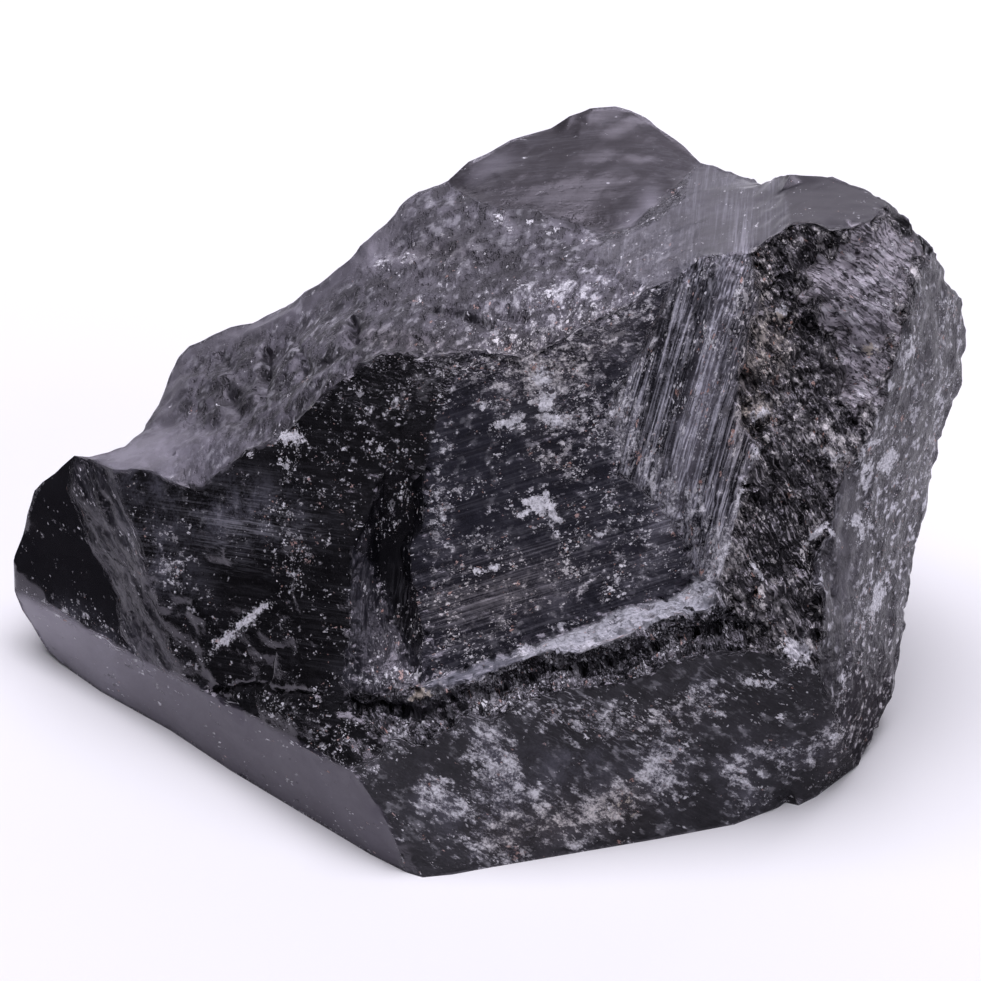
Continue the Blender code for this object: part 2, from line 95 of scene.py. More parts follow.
nearCorner = [(-7.0, -14.0), (-6.4, -14.7), (-5.4, -16.2), (-4.7, -17.7), (-4.2, -20.5)]
cheekEdge = [
    (-20.8, 1.74), (-21.0, 0.2), (-20.5, -1.3), (-19.7, -3.0), (-18.6, -5.3), (-18.4, -7.2),
    (-17.4, -8.5),
]
bandEdge = [
    (-18.9, 1.06), (-18.3, -1.0), (-17.6, -2.5), (-16.8, -5.5), (-16.2, -7.5), (-15.8, -9.2),
]
wedgeLeft = [
    (-5.3, 1.06), (-6.1, -1.2), (-6.9, -2.9), (-6.95, -5.0), (-7.0, -7.0), (-7.3, -9.5),
]
panelLeft = [
    (-1.0, 7.0), (-2.4, 4.3), (-2.9, 2.4), (-3.3, 1.0), (-3.4, -1.6), (-4.0, -2.8), (-4.0, -4.1),
    (-3.6, -6.0), (-3.3, -7.4), (-3.5, -9.85),
]
ledgeTop = [
    (-3.5, -9.85), (-2.0, -9.2), (0.0, -8.5), (2.2, -7.8), (4.0, -7.1), (5.4, -6.6),
    (6.85, -5.8), (8.6, -5.55), (10.0, -4.85), (10.2, -4.2), (11.0, -4.1), (11.3, -4.6),
]
ledgeFront = [
    (-3.5, -9.85), (-1.0, -9.4), (1.2, -8.6), (3.0, -8.0), (4.6, -8.1), (7.1, -7.1),
    (8.6, -6.4), (9.6, -6.15), (11.1, -5.9), (11.3, -4.6),
]
wallLeft = [
    (9.3, 10.6), (8.0, 8.0), (6.9, 6.0), (6.2, 5.0), (6.0, 3.2), (6.6, 2.2), (6.4, 0.9),
    (8.0, -0.4), (8.9, -1.1), (9.5, -2.2), (10.2, -4.2),
]
wallRight = [
    (13.0, 11.9), (13.4, 10.0), (13.0, 8.0), (12.4, 5.6), (12.6, 3.4), (13.4, 2.1),
    (12.6, 0.15), (12.0, -2.45), (11.3, -4.6),
]
rightEdge = [
    (22.2, 12.1), (21.5, 10.9), (21.2, 9.5), (20.6, 8.0), (20.2, 6.5), (19.9, 5.0),
    (19.2, 3.0), (18.5, 1.9), (17.75, 1.25), (17.2, -0.7), (17.0, -2.2), (16.0, -3.5),
    (16.1, -4.5), (16.9, -5.1), (16.65, -6.6), (16.3, -8.8),
]
rightFoot = [(16.3, -8.8), (17.0, -10.5), (17.8, -12.5), (18.3, -13.8)]
frontTop = [
    (16.3, -8.8), (14.5, -8.3), (12.7, -8.0), (11.0, -8.1), (8.9, -8.55), (7.8, -9.2),
    (6.2, -9.65), (3.5, -10.0), (2.0, -10.4), (0.0, -11.5), (-1.5, -11.1), (-2.0, -11.9),
    (-3.4, -12.7), (-5.2, -12.35), (-5.7, -13.3), (-7.0, -14.0),
]
domeEdge = [
    (-2.0, 15.3), (-0.5, 14.4), (2.0, 14.0), (4.5, 13.3), (5.5, 12.9), (7.0, 13.3),
    (8.0, 14.2), (9.2, 15.3), (10.5, 16.6),
]

# What each broken face is like. Depths, pitches and sizes are in mm, angles in degrees from
# level as seen from the eye. striae are (angle, depth, pitch, how many times longer than
# wide), facets and grit are (depth, size). torn is how far its border frays, and weight how
# strongly it covers its neighbours. What lies on it comes last, from 0, none, to 1.
faces = {
    # The smooth foot's colour is lighter than the other black faces: a painted reflection of the
    # pale floor.
    "smoothFoot": dict(
        outline=footTop + nearCorner[1:] + [(-12.0, -20.5), (-26.0, -10.0)],
        striae=(-30.0, 0.01, 0.6, 8.0), facets=(0.0, 3.0), grit=(0.015, 1.2),
        colour=(0.043, 0.037, 0.053), roughness=0.2, stretch=2.0, chipping=0.15,
        crumbs=0.01, sand=0.05, veil=0.1, glint=0.04, blotch=0.12,
    ),
    "nearFace": dict(
        outline=frontTop + nearCorner[1:] + [(10.0, -21.0), (18.3, -16.0)] + rightFoot[::-1],
        striae=(-27.0, 0.04, 0.7, 3.5), facets=(0.08, 1.8), grit=(0.05, 0.8),
        colour=(0.033, 0.032, 0.0355), roughness=0.24, stretch=1.8, chipping=0.35,
        crumbs=0.05, sand=0.1, veil=0.06, lines=0.02, glint=0.12, lace=0.22, blobs=0.16,
        blotch=0.06, pits=0.1,
    ),
    "rightFace": dict(
        outline=rightEdge + rightFoot[1:] + [(20.0, -15.5), (26.0, -6.0), (26.0, 12.0)],
        striae=(84.0, 0.07, 0.7, 3.0), facets=(0.1, 2.0), grit=(0.05, 0.8),
        colour=(0.005, 0.0045, 0.0065), roughness=0.28, stretch=1.0, chipping=0.2, torn=0.3,
        crumbs=0.15, sand=0.15, veil=0.05, glint=0.22, lace=0.06, dashes=0.3, blobs=1.0,
        blotch=0.16, pits=0.3,
    ),
    "grainyHollow": dict(
        outline=(
            crestRight + [(21.0, 13.4)] + rightEdge + frontTop[1:3]
            + [(13.0, -6.6), (12.0, -6.0)] + wallRight[:0:-1]
        ),
        striae=(118.0, 0.1, 0.3, 6.0), facets=(0.36, 1.1), grit=(0.26, 0.8),
        colour=(0.006, 0.006, 0.0065), roughness=0.24, stretch=1.7, chipping=0.9, torn=0.25,
        crumbs=0.6, sand=0.55, veil=0.15, lines=0.05, glint=0.42, lace=0.34, hairs=0.55,
        dashes=0.9, blobs=0.3, tan=0.25, pits=0.75,
    ),
    # Its light lilac colour is a painted glossy reflection, laid over real wrinkles.
    "wrinkledSheen": dict(
        outline=[
            (15.9, 10.2), (16.4, 11.5), (18.2, 12.9), (20.0, 13.3), (20.8, 12.2), (20.9, 11.0),
            (20.3, 9.4), (19.8, 7.6), (19.7, 6.0), (19.3, 4.4), (18.6, 3.2), (18.1, 4.6),
            (17.5, 6.8), (16.9, 8.6),
        ],
        striae=(-34.0, 0.17, 0.5, 3.0), facets=(0.26, 1.1), grit=(0.12, 0.6),
        colour=(0.42, 0.39, 0.44), roughness=0.34, stretch=2.4, chipping=0.5, torn=1.3,
        weight=6.0,
        crumbs=0.14, sand=0.2, veil=0.1, glint=0.6, lace=0.1, dashes=1.0, blobs=0.4, pits=0.95,
    ),
    "blackSliver": dict(
        outline=[
            (19.9, 14.4), (20.8, 14.6), (23.0, 12.6), (22.4, 11.9), (21.4, 12.0), (20.7, 12.6),
            (20.3, 13.5),
        ],
        striae=(-38.0, 0.02, 0.5, 3.0), facets=(0.04, 1.5), grit=(0.03, 0.6),
        colour=(0.003, 0.003, 0.0035), roughness=0.22, stretch=1.5, chipping=0.2, weight=20.0,
        crumbs=0.02, sand=0.06, glint=0.15,
    ),
    "stripedWall": dict(
        outline=wallLeft + wallRight[::-1] + [(10.5, 11.7)],
        striae=(74.5, 0.22, 0.42, 26.0), facets=(0.05, 2.0), grit=(0.05, 0.5),
        colour=(0.008, 0.008, 0.011), roughness=0.24, stretch=2.2, chipping=0.6, torn=0.2,
        crumbs=0.16, sand=0.4, veil=0.05, lines=0.78, glint=0.2, lace=0.2, blobs=0.12,
    ),
    "panel": dict(
        outline=crestLeft + wallLeft[1:] + ledgeTop[8::-1] + panelLeft[-2:0:-1],
        striae=(17.0, 0.06, 0.4, 14.0), facets=(0.08, 2.0), grit=(0.06, 0.6),
        colour=(0.014, 0.014, 0.021), roughness=0.24, stretch=1.3, chipping=0.7, torn=0.15,
        crumbs=0.07, sand=0.26, veil=0.06, lines=0.05, glint=0.18, lace=0.08, blobs=0.1,
    ),
    "ledge": dict(
        outline=ledgeTop + ledgeFront[-2:0:-1],
        striae=(20.0, 0.05, 0.5, 4.0), facets=(0.2, 0.55), grit=(0.12, 0.4),
        colour=(0.44, 0.445, 0.495), roughness=0.45, stretch=2.0, chipping=1.0,
        crumbs=0.55, sand=0.55, lines=0.1, glint=0.9, lace=0.2, dashes=0.35, blobs=0.8, pits=0.25,
    ),
    "ledgeTail": dict(
        outline=[
            (-3.6, -10.0), (-2.0, -9.25), (0.0, -8.55), (1.3, -8.1), (1.5, -8.45), (0.2, -8.95),
            (-1.0, -9.45),
        ],
        striae=(20.0, 0.03, 0.4, 6.0), facets=(0.05, 0.9), grit=(0.03, 0.5),
        colour=(0.085, 0.088, 0.11), roughness=0.4, stretch=2.0, chipping=0.8, weight=20.0,
        crumbs=0.1, sand=0.2, lines=0.5, glint=0.2,
    ),
    "undercut": dict(
        outline=[(-7.3, -9.5), (-5.8, -10.2)] + ledgeFront + [(12.0, -6.0), (13.0, -6.6)]
        + frontTop[2:-2] + [(-6.9, -10.9)],
        striae=(112.0, 0.08, 0.3, 4.0), facets=(0.34, 1.0), grit=(0.22, 0.7),
        colour=(0.007, 0.007, 0.008), roughness=0.18, stretch=4.0, chipping=0.9,
        crumbs=0.3, sand=0.46, lines=0.05, glint=0.5, lace=0.2, hairs=0.6, dashes=0.4, blobs=0.1,
        pits=0.35,
    ),
    "glassyFace": dict(
        outline=(
            ridge[1:] + panelLeft[1:4] + wedgeLeft + [(-6.9, -10.9), (-5.2, -12.35), (-5.7, -13.3)]
            + footTop[:3:-1] + bandEdge[-2:0:-1]
        ),
        striae=(-8.0, 0.04, 0.4, 8.0), facets=(0.16, 2.4), grit=(0.05, 0.7),
        colour=(0.0055, 0.0052, 0.006), roughness=0.12, stretch=1.2, chipping=0.6,
        crumbs=0.04, sand=0.09, lines=0.02, glint=0.12, lace=0.05,
    ),
    "leftCheek": dict(
        outline=cheekEdge + footTop[3:0:-1] + [(-25.0, -4.6), (-25.0, -1.0), (-22.0, 2.2)],
        striae=(-60.0, 0.0, 0.6, 6.0), facets=(0.03, 3.0), grit=(0.01, 1.0),
        colour=(0.012, 0.0115, 0.014), roughness=0.1, stretch=1.5, chipping=0.1,
        sand=0.01,
    ),
    "leftBand": dict(
        outline=cheekEdge + bandEdge[::-1] + [(-20.05, 1.57)],
        striae=(-62.0, 0.11, 0.6, 6.0), facets=(0.2, 1.5), grit=(0.05, 0.6),
        colour=(0.004, 0.004, 0.006), roughness=0.3, stretch=2.5, chipping=0.2,
        crumbs=0.03, sand=0.06, lines=0.06, glint=0.03, dashes=0.3, blotch=0.1, pits=0.4,
    ),
    "topSlope": dict(
        outline=(
            ridge + crestLeft[1:6] + [(5.0, 12.0)] + domeEdge[4::-1]
            + [(-3.0, 18.0), (-12.0, 12.0), (-21.5, 4.0)]
        ),
        striae=(75.0, 0.05, 0.7, 4.0), facets=(0.15, 1.4), grit=(0.04, 0.9),
        colour=(0.007, 0.0065, 0.009), roughness=0.5, stretch=1.6, chipping=0.1, torn=0.3,
        crumbs=0.02, veil=0.1, glint=0.04, lace=0.02, dashes=0.06, blobs=0.26, blotch=0.75,
        pits=0.55,
    ),
    "dome": dict(
        outline=domeEdge + [(9.0, 20.5), (4.0, 21.0), (-2.5, 18.0)],
        striae=(2.0, 0.04, 0.8, 10.0), facets=(0.05, 2.5), grit=(0.02, 0.8),
        colour=(0.01, 0.0075, 0.009), roughness=0.34, stretch=2.0, chipping=0.05,
        sand=0.003, veil=0.04, lines=0.05, glint=0.02, blobs=0.03,
    ),
    "backCrest": dict(
        outline=[
            (5.0, 12.0), (7.0, 12.8), (8.5, 13.4), (9.7, 14.5), (10.5, 16.8), (14.5, 16.8),
            (14.8, 14.3), (15.0, 13.3), (14.2, 12.7), (13.0, 11.9), (10.5, 11.7), (9.3, 10.6),
            (7.8, 10.1),
        ],
        striae=(80.0, 0.03, 0.5, 12.0), facets=(0.05, 2.0), grit=(0.03, 0.7),
        colour=(0.026, 0.025, 0.031), roughness=0.28, stretch=2.0, chipping=0.15,
        crumbs=0.01, sand=0.01, veil=0.16, lines=0.16, glint=0.02,
    ),
    "cap": dict(
        outline=[(14.3, 17.0), (14.8, 14.3)] + crestRight[2:] + [(20.5, 15.5), (17.0, 17.0)],
        striae=(0.0, 0.01, 0.6, 6.0), facets=(0.03, 2.0), grit=(0.02, 0.6),
        colour=(0.005, 0.004, 0.006), roughness=0.34, stretch=1.0, chipping=0.1,
        sand=0.03, veil=0.05, glint=0.02,
    ),
    "wedge": dict(
        outline=[
            (-6.9, -2.9), (-6.2, -3.4), (-5.3, -4.9), (-4.7, -6.9), (-3.8, -8.2), (-3.4, -9.0),
            (-3.6, -9.7), (-5.8, -10.2), (-6.9, -10.1), (-7.3, -9.5), (-7.3, -8.3), (-7.0, -7.0),
        ],
        striae=(88.0, 0.04, 0.3, 12.0), facets=(0.04, 1.6), grit=(0.03, 0.5),
        colour=(0.007, 0.007, 0.011), roughness=0.28, stretch=1.8, chipping=0.6, weight=20.0,
        crumbs=0.03, sand=0.16, lines=0.06, glint=0.25, lace=0.06, dashes=0.2, pits=0.2,
    ),
    "channel": dict(
        outline=(
            [(-3.3, 1.1), (-5.3, 1.06), (-6.1, -1.2), (-6.9, -2.9), (-6.0, -6.5), (-4.6, -9.6)]
            + panelLeft[-2:3:-1]
        ),
        striae=(85.0, 0.02, 0.5, 5.0), facets=(0.05, 1.5), grit=(0.02, 0.6),
        colour=(0.002, 0.002, 0.003), roughness=0.2, stretch=1.5, chipping=0.3,
        sand=0.05, glint=0.05,
    ),
}
farSide = dict(
    striae=(80.0, 0.08, 0.5, 8.0), facets=(0.17, 2.4), grit=(0.08, 1.0),
    colour=(0.009, 0.009, 0.011), roughness=0.26, stretch=2.0, chipping=0.3,
    crumbs=0.22, sand=0.3, veil=0.1, lines=0.12, glint=0.3, lace=0.2, hairs=0.1, dashes=0.2,
    blobs=0.12, blotch=0.1, pits=0.2,
    stepHeight=0.5, stepPitch=4.5, stepFall=0.12, stepBend=6.5, bareSize=9.0, paleSize=4.0,
    bareShare=0.85, paleShare=0.6, along=(0.35, 0.30, 0.89), begins=(0.8, 2.2),
    aboveFoot=(0.4, 2.0),
)
farScoops = [            # shell-shaped hollows behind: x, z, radius, depth
    (12.5, 17.0, 5.2, 0.75), (-1.5, 12.5, 4.2, 0.6), (5.5, 6.5, 3.4, 0.45), (-12.0, 5.5, 3.0, 0.4),
]
# Slots, cracks and hollows: the line that each follows, its half width and its depth.
grooves = [
    ([(-11.2, 6.9), (-11.5, 4.5)], 0.2, 0.6), ([(-6.9, 8.5), (-6.95, 7.4)], 0.22, 0.55),
    ([(-3.0, 9.3), (-0.2, 8.3)], 0.20, 0.4),
    ([(-13.4, 6.6), (-12.9, 5.9)], 0.30, 0.25), ([(-9.7, 7.4), (-9.1, 5.9)], 0.20, 0.25),
    ([(-14.0, -10.0), (-11.2, -9.6), (-10.9, -8.0)], 0.14, 0.25),
    ([(-11.0, -10.0), (-8.5, -10.2)], 0.14, 0.25),
    ([(-7.0, -10.4), (-5.0, -10.8), (-3.9, -11.1), (-2.6, -11.1), (-1.5, -10.8)], 0.26, 0.40),
    ([(15.7, 11.8), (16.1, 11.4)], 0.40, 0.5), ([(15.9, 8.4), (15.7, 6.8)], 0.36, 0.25),
    ([(12.8, 5.7), (13.1, 5.3)], 0.34, 0.6), ([(17.6, 5.8), (17.9, 5.2)], 0.34, 0.6),
    ([(13.7, 3.6), (13.3, 3.0)], 0.30, 0.5), ([(14.4, 1.2), (14.0, -0.6)], 0.28, 0.35),
    ([(0.5, 8.9), (1.6, 8.6)], 0.25, 0.3), ([(-13.1, 4.7), (-12.7, 3.9)], 0.40, 0.4),
    ([(-9.7, 6.6), (-9.5, 5.8)], 0.25, 0.3), ([(-2.6, 12.0), (-1.4, 11.8)], 0.30, 0.25),
]
bulges = [               # across, up, radius, height
    (-15.8, 6.7, 0.9, 0.2), (-4.0, 14.2, 1.2, 0.3), (23.4, 5.7, 1.2, 0.4), (23.0, 10.0, 1.2, 0.25),
    (22.3, 0.5, 0.9, -0.25), (-22.9, -0.6, 1.7, 0.3), (-24.2, -3.6, 1.2, 0.3),
]
borders = {"blur": 0.12, "sway": 0.12, "swaysPerMm": 1.1, "tearsPerMm": 0.9, "least": 0.02}
wanders = {"reach": 0.15, "perMm": 1.7}      # how the grooves stray from their lines
smallFacets = {"depth": 0.45, "size": 0.42}  # against a face's own
smoothBelow = 38.0       # degrees between two triangles
chips = {"reach": 0.50, "depth": 0.42, "size": 0.60, "sharpest": 24.0}      # along the edges
finest = ("grainyHollow", "stripedWall", "panel", "ledge", "undercut", "wedge")
grooveEdge = 0.12        # how far beside a groove the mesh is as fine as in it
ground = {"foot": 0.005, "clear": 0.01}      # the foot's points, and the least height of others
skyline = {"turned": 0.3, "rightEnd": 12.0, "rounds": 3}
ripple = {"height": 0.04, "pitch": 0.9}      # in the hollows behind


def loose(crumbs, sand, lace, **others):
    return dict(crumbs=crumbs, sand=sand, lace=lace, **others)


# Zones that differ from the rest of their face: across, up, half length, half width, angle,
# then what is added to the face's own amounts, on that face alone where one is named.
dusty = dict(crumbs=0.02, sand=0.05, veil=0.55, blobs=0.4, haze=0.06)
clean = loose(-0.16, -0.24, -0.3)
fairlyClean = loose(-0.12, -0.2, -0.2)
zones = [
    (2.0, 6.9, 5.6, 1.2, 10, loose(0.22, 0.35, 0.16, veil=0.1, glint=0.5, dashes=0.5, tan=0.15,
        blobs=0.2, pits=0.5)),
    (4.8, 9.3, 3.6, 1.4, 32, loose(0.2, 0.3, 0.2, veil=0.2, glint=0.4, dashes=0.3, blobs=0.4,
        pits=0.3)),
    (0.0, 9.8, 3.4, 1.8, 15, loose(0.05, 0.12, 0.08, veil=0.1, glint=0.2, dashes=0.3, blotch=-0.3,
        pits=0.2)),
    (3.4, 4.6, 3.2, 1.7, -40, loose(0.35, 0.45, 0.5, veil=0.1, glint=0.3, tan=0.1, blobs=0.2)),
    (-3.4, -10.8, 2.4, 0.5, -4, loose(-0.2, -0.3, -0.2, hairs=-0.6)),
    (-17.0, -3.2, 1.5, 0.8, -60, loose(0.05, 0.1, 0.2, veil=0.7, lines=0.1, glint=0.2)),
    (-17.2, 0.0, 1.8, 1.0, -40, dict(crumbs=-0.05, sand=-0.05, veil=0.5)),
    (-2.5, -0.6, 4.4, 0.5, 88, loose(0.35, 0.55, 0.44, veil=0.2, glint=0.3)),
    (-1.2, 2.6, 2.2, 1.2, 70, dict(crumbs=-0.1, sand=-0.2, glint=-0.2)),
    (0.2, -5.2, 4.2, 1.7, 15, loose(0.02, 0.1, 0.14, lines=0.24, tan=0.35)),
    (6.6, -3.0, 2.6, 1.6, 15, loose(0.1, 0.15, 0.16)),
    (12.9, 5.5, 4.6, 0.7, 84, loose(0.1, 0.1, 0.1, veil=0.1, tan=0.35)),
    (6.9, 3.6, 2.4, 0.45, 76, loose(0.2, 0.2, 0.42, veil=0.1, lines=0.3)),
    (10.9, 6.6, 4.6, 0.42, 74.5, dict(veil=0.5, lines=0.55, haze=0.34)),
    (9.9, 2.0, 3.2, 0.65, 71, dict(sand=0.1, veil=0.5, lines=0.45, lace=0.1, haze=0.36)),
    (9.5, 8.4, 2.6, 0.3, 74.5, dict(veil=0.1, lines=0.35)),
    (7.6, 4.6, 2.4, 0.22, 74.5, dict(veil=0.1, lines=0.4)),
    (12.4, 3.8, 3.2, 0.25, 76, dict(sand=0.1, veil=0.1, lines=0.45, lace=0.1)),
    (11.9, -1.4, 3.0, 0.28, 74, dict(sand=0.1, veil=0.2, lines=0.45, lace=0.1)),
    (8.3, 8.4, 2.6, 0.35, 74.5, dict(lines=-0.45, lace=-0.1)),
    (10.1, 7.4, 3.2, 0.22, 74.5, dict(lines=-0.4, lace=-0.1)),
    (9.1, 3.6, 2.6, 0.25, 74.5, dict(lines=-0.35)),
    (13.2, 8.8, 2.4, 0.4, 76, dict(lines=-0.35)),
    (9.4, -0.6, 3.6, 0.8, -52, loose(0.2, 0.3, 0.55, veil=0.2)),
    (11.6, -3.4, 2.2, 0.6, 62, loose(0.1, 0.2, 0.45, veil=0.2)),
    (-5.8, 3.0, 3.4, 1.6, 20, loose(0.06, 0.14, 0.26, glint=0.1)),
    (0.4, -13.6, 1.9, 0.8, -62, dict(dusty, lace=0.66)),
    (0.2, -16.4, 2.2, 1.6, 80, dict(dusty, lace=0.52)),
    (-2.6, -15.4, 1.2, 0.7, -40, dict(dusty, lace=0.52)),
    (4.6, -16.2, 2.8, 1.2, 20, dict(dusty, lace=0.58)),
    (8.7, -13.9, 1.5, 0.9, -80, dict(dusty, lace=0.58)),
    (4.6, -11.5, 3.8, 0.9, -20, loose(0.1, 0.2, 0.36, blobs=0.2)),
    (9.0, -11.2, 1.9, 0.7, 10, loose(0.1, 0.2, 0.42, veil=0.1, blobs=0.2, tan=0.15)),
    (10.8, -10.0, 0.9, 0.5, 0, loose(0.02, 0.05, 0.5, veil=0.9, blobs=0.3)),
    (12.4, -14.6, 1.6, 0.8, -70, dict(dusty, lace=0.44)),
    (14.2, -13.1, 1.5, 0.6, -10, dict(dusty, lace=0.5)),
    (16.6, -12.7, 1.3, 0.5, 40, dict(dusty, lace=0.48)),
    (2.5, -13.5, 1.2, 0.7, 0, clean),
    (5.9, -13.3, 1.2, 0.7, 0, clean),
    (9.0, -9.2, 3.4, 0.6, 3, clean),
    (12.4, -12.4, 1.9, 0.5, 3, fairlyClean),
    (-3.3, -13.1, 1.3, 0.6, 5, fairlyClean),
    (10.0, -16.4, 2.2, 0.6, 8, fairlyClean),
    (19.4, 3.0, 6.0, 1.1, 80, loose(0.1, 0.2, 0.3)),
    (22.6, 6.0, 4.0, 0.7, 85, loose(0.1, 0.2, 0.34)),
    (18.6, -7.6, 3.4, 0.9, 80, loose(0.1, 0.2, 0.32)),
    (14.4, 7.6, 1.6, 0.9, 80, loose(0.1, 0.2, 0.15, veil=0.1, tan=0.35)),
    (-3.6, 11.6, 3.2, 1.6, 30, dict(sand=0.02, veil=0.1, glint=0.2, lace=0.06, haze=0.06)),
    (-12.6, 4.2, 1.3, 1.2, 0, dict(crumbs=-0.1, veil=-0.35, glint=0.2, lace=-0.1)),
    (-13.0, 6.8, 1.2, 0.8, 0, dict(crumbs=-0.1, veil=-0.35, glint=0.2, lace=-0.1)),
    (-9.6, 6.6, 1.3, 0.8, 20, dict(crumbs=-0.1, veil=-0.3, glint=0.2, lace=-0.1)),
    (-15.5, 1.6, 3.2, 1.2, 10, loose(-0.2, -0.14, -0.1, face="topSlope", veil=0.4, glint=-0.4,
        haze=0.22, pits=-0.4)),
    (-12.4, -1.6, 2.2, 1.3, 0, dict(lines=0.3)),
    (-5.6, -9.4, 2.0, 0.7, 0, loose(0.12, 0.25, 0.3, veil=0.2, glint=0.2)),
    (14.4, -2.6, 3.6, 1.6, -50, loose(-0.4, -0.4, -0.3, face="grainyHollow", hairs=0.9,
        blobs=-0.4, glint=-0.34, dashes=0.2)),
    # Veil and haze on the foot's left end: a painted reflection of the floor at a grazing angle.
    (-20.5, -8.0, 4.2, 2.2, -38, dict(face="smoothFoot", veil=0.7, haze=0.6)),
    (-4.7, -1.3, 1.7, 0.7, 85, loose(0.15, 0.25, 0.3, glint=0.2)),
    (-10.2, -3.4, 4.4, 0.6, 88, loose(0.22, 0.26, 0.22, glint=0.1)),
    (-8.6, -3.8, 1.4, 0.7, 40, loose(0.2, 0.26, 0.27, glint=0.1)),
    (-15.6, -4.2, 1.9, 0.9, -60, loose(0.1, 0.2, 0.36, veil=0.35)),
    (-17.9, -7.9, 3.0, 0.6, -32, loose(0.1, 0.2, 0.35, veil=0.3)),
    (-12.4, -0.9, 2.4, 1.3, -6, dict(veil=0.6, lace=0.1)),
    (-12.2, -4.4, 1.6, 1.0, 0, loose(-0.08, -0.12, -0.2)),
    (-11.6, -8.8, 2.6, 1.0, 0, loose(-0.06, -0.1, -0.2)),
    (-8.6, -12.0, 2.2, 0.7, -40, loose(0.25, 0.36, 0.3, glint=0.2)),
    (-3.2, -12.2, 2.6, 0.7, 10, loose(0.1, 0.24, 0.3, glint=0.1)),
    (20.8, 10.4, 1.6, 0.7, 75, loose(0.1, 0.15, 0.3)),
    (-17.4, 2.0, 2.6, 0.8, 20, dict(face="topSlope", haze=0.45, blobs=-0.3, pits=-0.5)),
    # More painted reflection on the foot's left end.
    (-22.6, -6.6, 1.8, 1.0, -32, dict(face="smoothFoot", haze=0.8)),
    # Dark pits here: painted shade in a hollow of the top slope.
    (-12.8, 5.0, 1.6, 1.3, 80, dict(blotch=-0.5, blobs=-0.2, pits=0.5)),
    (-9.5, 8.4, 1.6, 1.0, 40, dict(haze=0.1, blobs=0.2)),
    (-1.0, 12.2, 4.6, 1.5, 25, dict(blotch=-0.55, blobs=-0.1, pits=0.2)),
    (3.0, 9.8, 1.6, 0.6, 10, dict(crumbs=0.05, blobs=0.2, lace=0.1, haze=0.3)),
    (6.5, 10.9, 2.6, 0.9, 32, dict(veil=0.4, haze=0.2, lace=0.1, blobs=0.2)),
    (3.0, 5.9, 3.6, 0.8, 18, loose(0.15, 0.2, 0.25, veil=0.3, blobs=0.3, tan=0.12)),
    (6.4, 8.2, 2.2, 0.9, 34, loose(0.15, 0.25, 0.2, veil=0.35, blobs=0.5, haze=0.1, tan=0.08)),
    (3.2, 1.6, 1.4, 0.9, -60, loose(0.3, 0.3, 0.3, blobs=0.4, tan=0.2)),
    (4.5, -5.0, 3.0, 1.2, 15, dict(sand=0.15, lace=0.15, veil=0.3, blobs=0.15)),
    (18.6, 7.4, 1.6, 0.8, 80, dict(haze=0.45, pits=-0.2)),
    (21.8, 7.4, 4.0, 1.2, 80, dict(blotch=-0.4, blobs=-0.75, haze=-0.1)),
    (-14.0, -1.0, 2.0, 1.0, -10, dict(veil=0.3, blobs=0.15)),
    (15.6, 8.2, 1.8, 0.9, -70, loose(-0.25, -0.25, -0.15, face="grainyHollow", blobs=-0.4)),
    (-18.9, -2.6, 4.5, 1.0, -68, dict(face="leftBand", haze=-0.2, blobs=-0.1)),
    (17.0, 2.6, 2.4, 0.8, 10, loose(0.2, 0.2, 0.2, face="grainyHollow", hairs=0.3)),
    (21.0, -1.6, 2.5, 0.8, 75, dict(face="rightFace", blobs=0.3, crumbs=0.2)),
    (-12.6, 7.9, 2.8, 0.45, 22, dict(face="topSlope", haze=0.4, blotch=-0.4, blobs=-0.3,
        pits=-0.6)),
    (-7.0, 11.2, 3.4, 0.45, 42, dict(face="topSlope", haze=0.35, blotch=-0.3, blobs=-0.3,
        pits=-0.6)),
    (-15.9, 5.0, 1.8, 0.5, 75, dict(face="topSlope", haze=0.35, blotch=-0.4, blobs=-0.3,
        pits=-0.6)),
    (0.3, 16.4, 0.9, 0.4, 20, dict(face="dome", haze=0.3)),
    (-0.7, 15.7, 0.7, 0.35, 30, dict(face="dome", haze=0.25)),
    (17.7, -3.0, 6.0, 0.7, 88, loose(-0.3, -0.3, -0.1, face="rightFace", blobs=-1.0, dashes=-0.4,
        pits=-0.3)),
    (21.3, 3.5, 5.0, 1.0, 80, dict(face="rightFace", crumbs=0.1)),
    (-21.8, -5.9, 2.6, 0.35, -31, loose(0.15, 0.2, 0.35, veil=0.4)),
    # Painted sheen on the wrinkled patch.
    (18.5, 10.0, 1.8, 1.0, -60, dict(face="wrinkledSheen", haze=0.3)),
    (10.5, 3.2, 5.5, 0.5, 74.5, dict(lines=0.2, haze=0.05)),
    (-5.5, 11.4, 0.5, 0.32, 30, dict(haze=0.7)),
    (-4.2, 11.6, 0.5, 0.3, 0, dict(haze=0.7)),
    (0.4, 13.6, 0.35, 0.28, 0, dict(haze=0.6)),
    (1.0, 13.0, 0.35, 0.28, 0, dict(haze=0.5)),
    (3.2, 13.1, 0.45, 0.3, -20, dict(haze=0.5)),
    (7.2, 13.4, 0.6, 0.4, 20, dict(haze=0.7)),
    (8.0, 14.3, 0.45, 0.6, 0, dict(haze=0.6)),
    (5.2, 12.5, 0.7, 0.35, 0, dict(haze=0.5)),
    (-12.6, 5.9, 0.4, 0.3, 0, dict(haze=0.4)),
    (-3.2, 10.4, 0.4, 0.3, 0, dict(haze=0.5)),
    (7.0, 8.6, 1.0, 0.6, 40, loose(0.2, 0.2, 0.3, veil=0.4)),
    (11.2, 10.0, 1.4, 1.2, 74, dict(face="stripedWall", lines=-0.4, crumbs=0.15, blobs=0.2)),
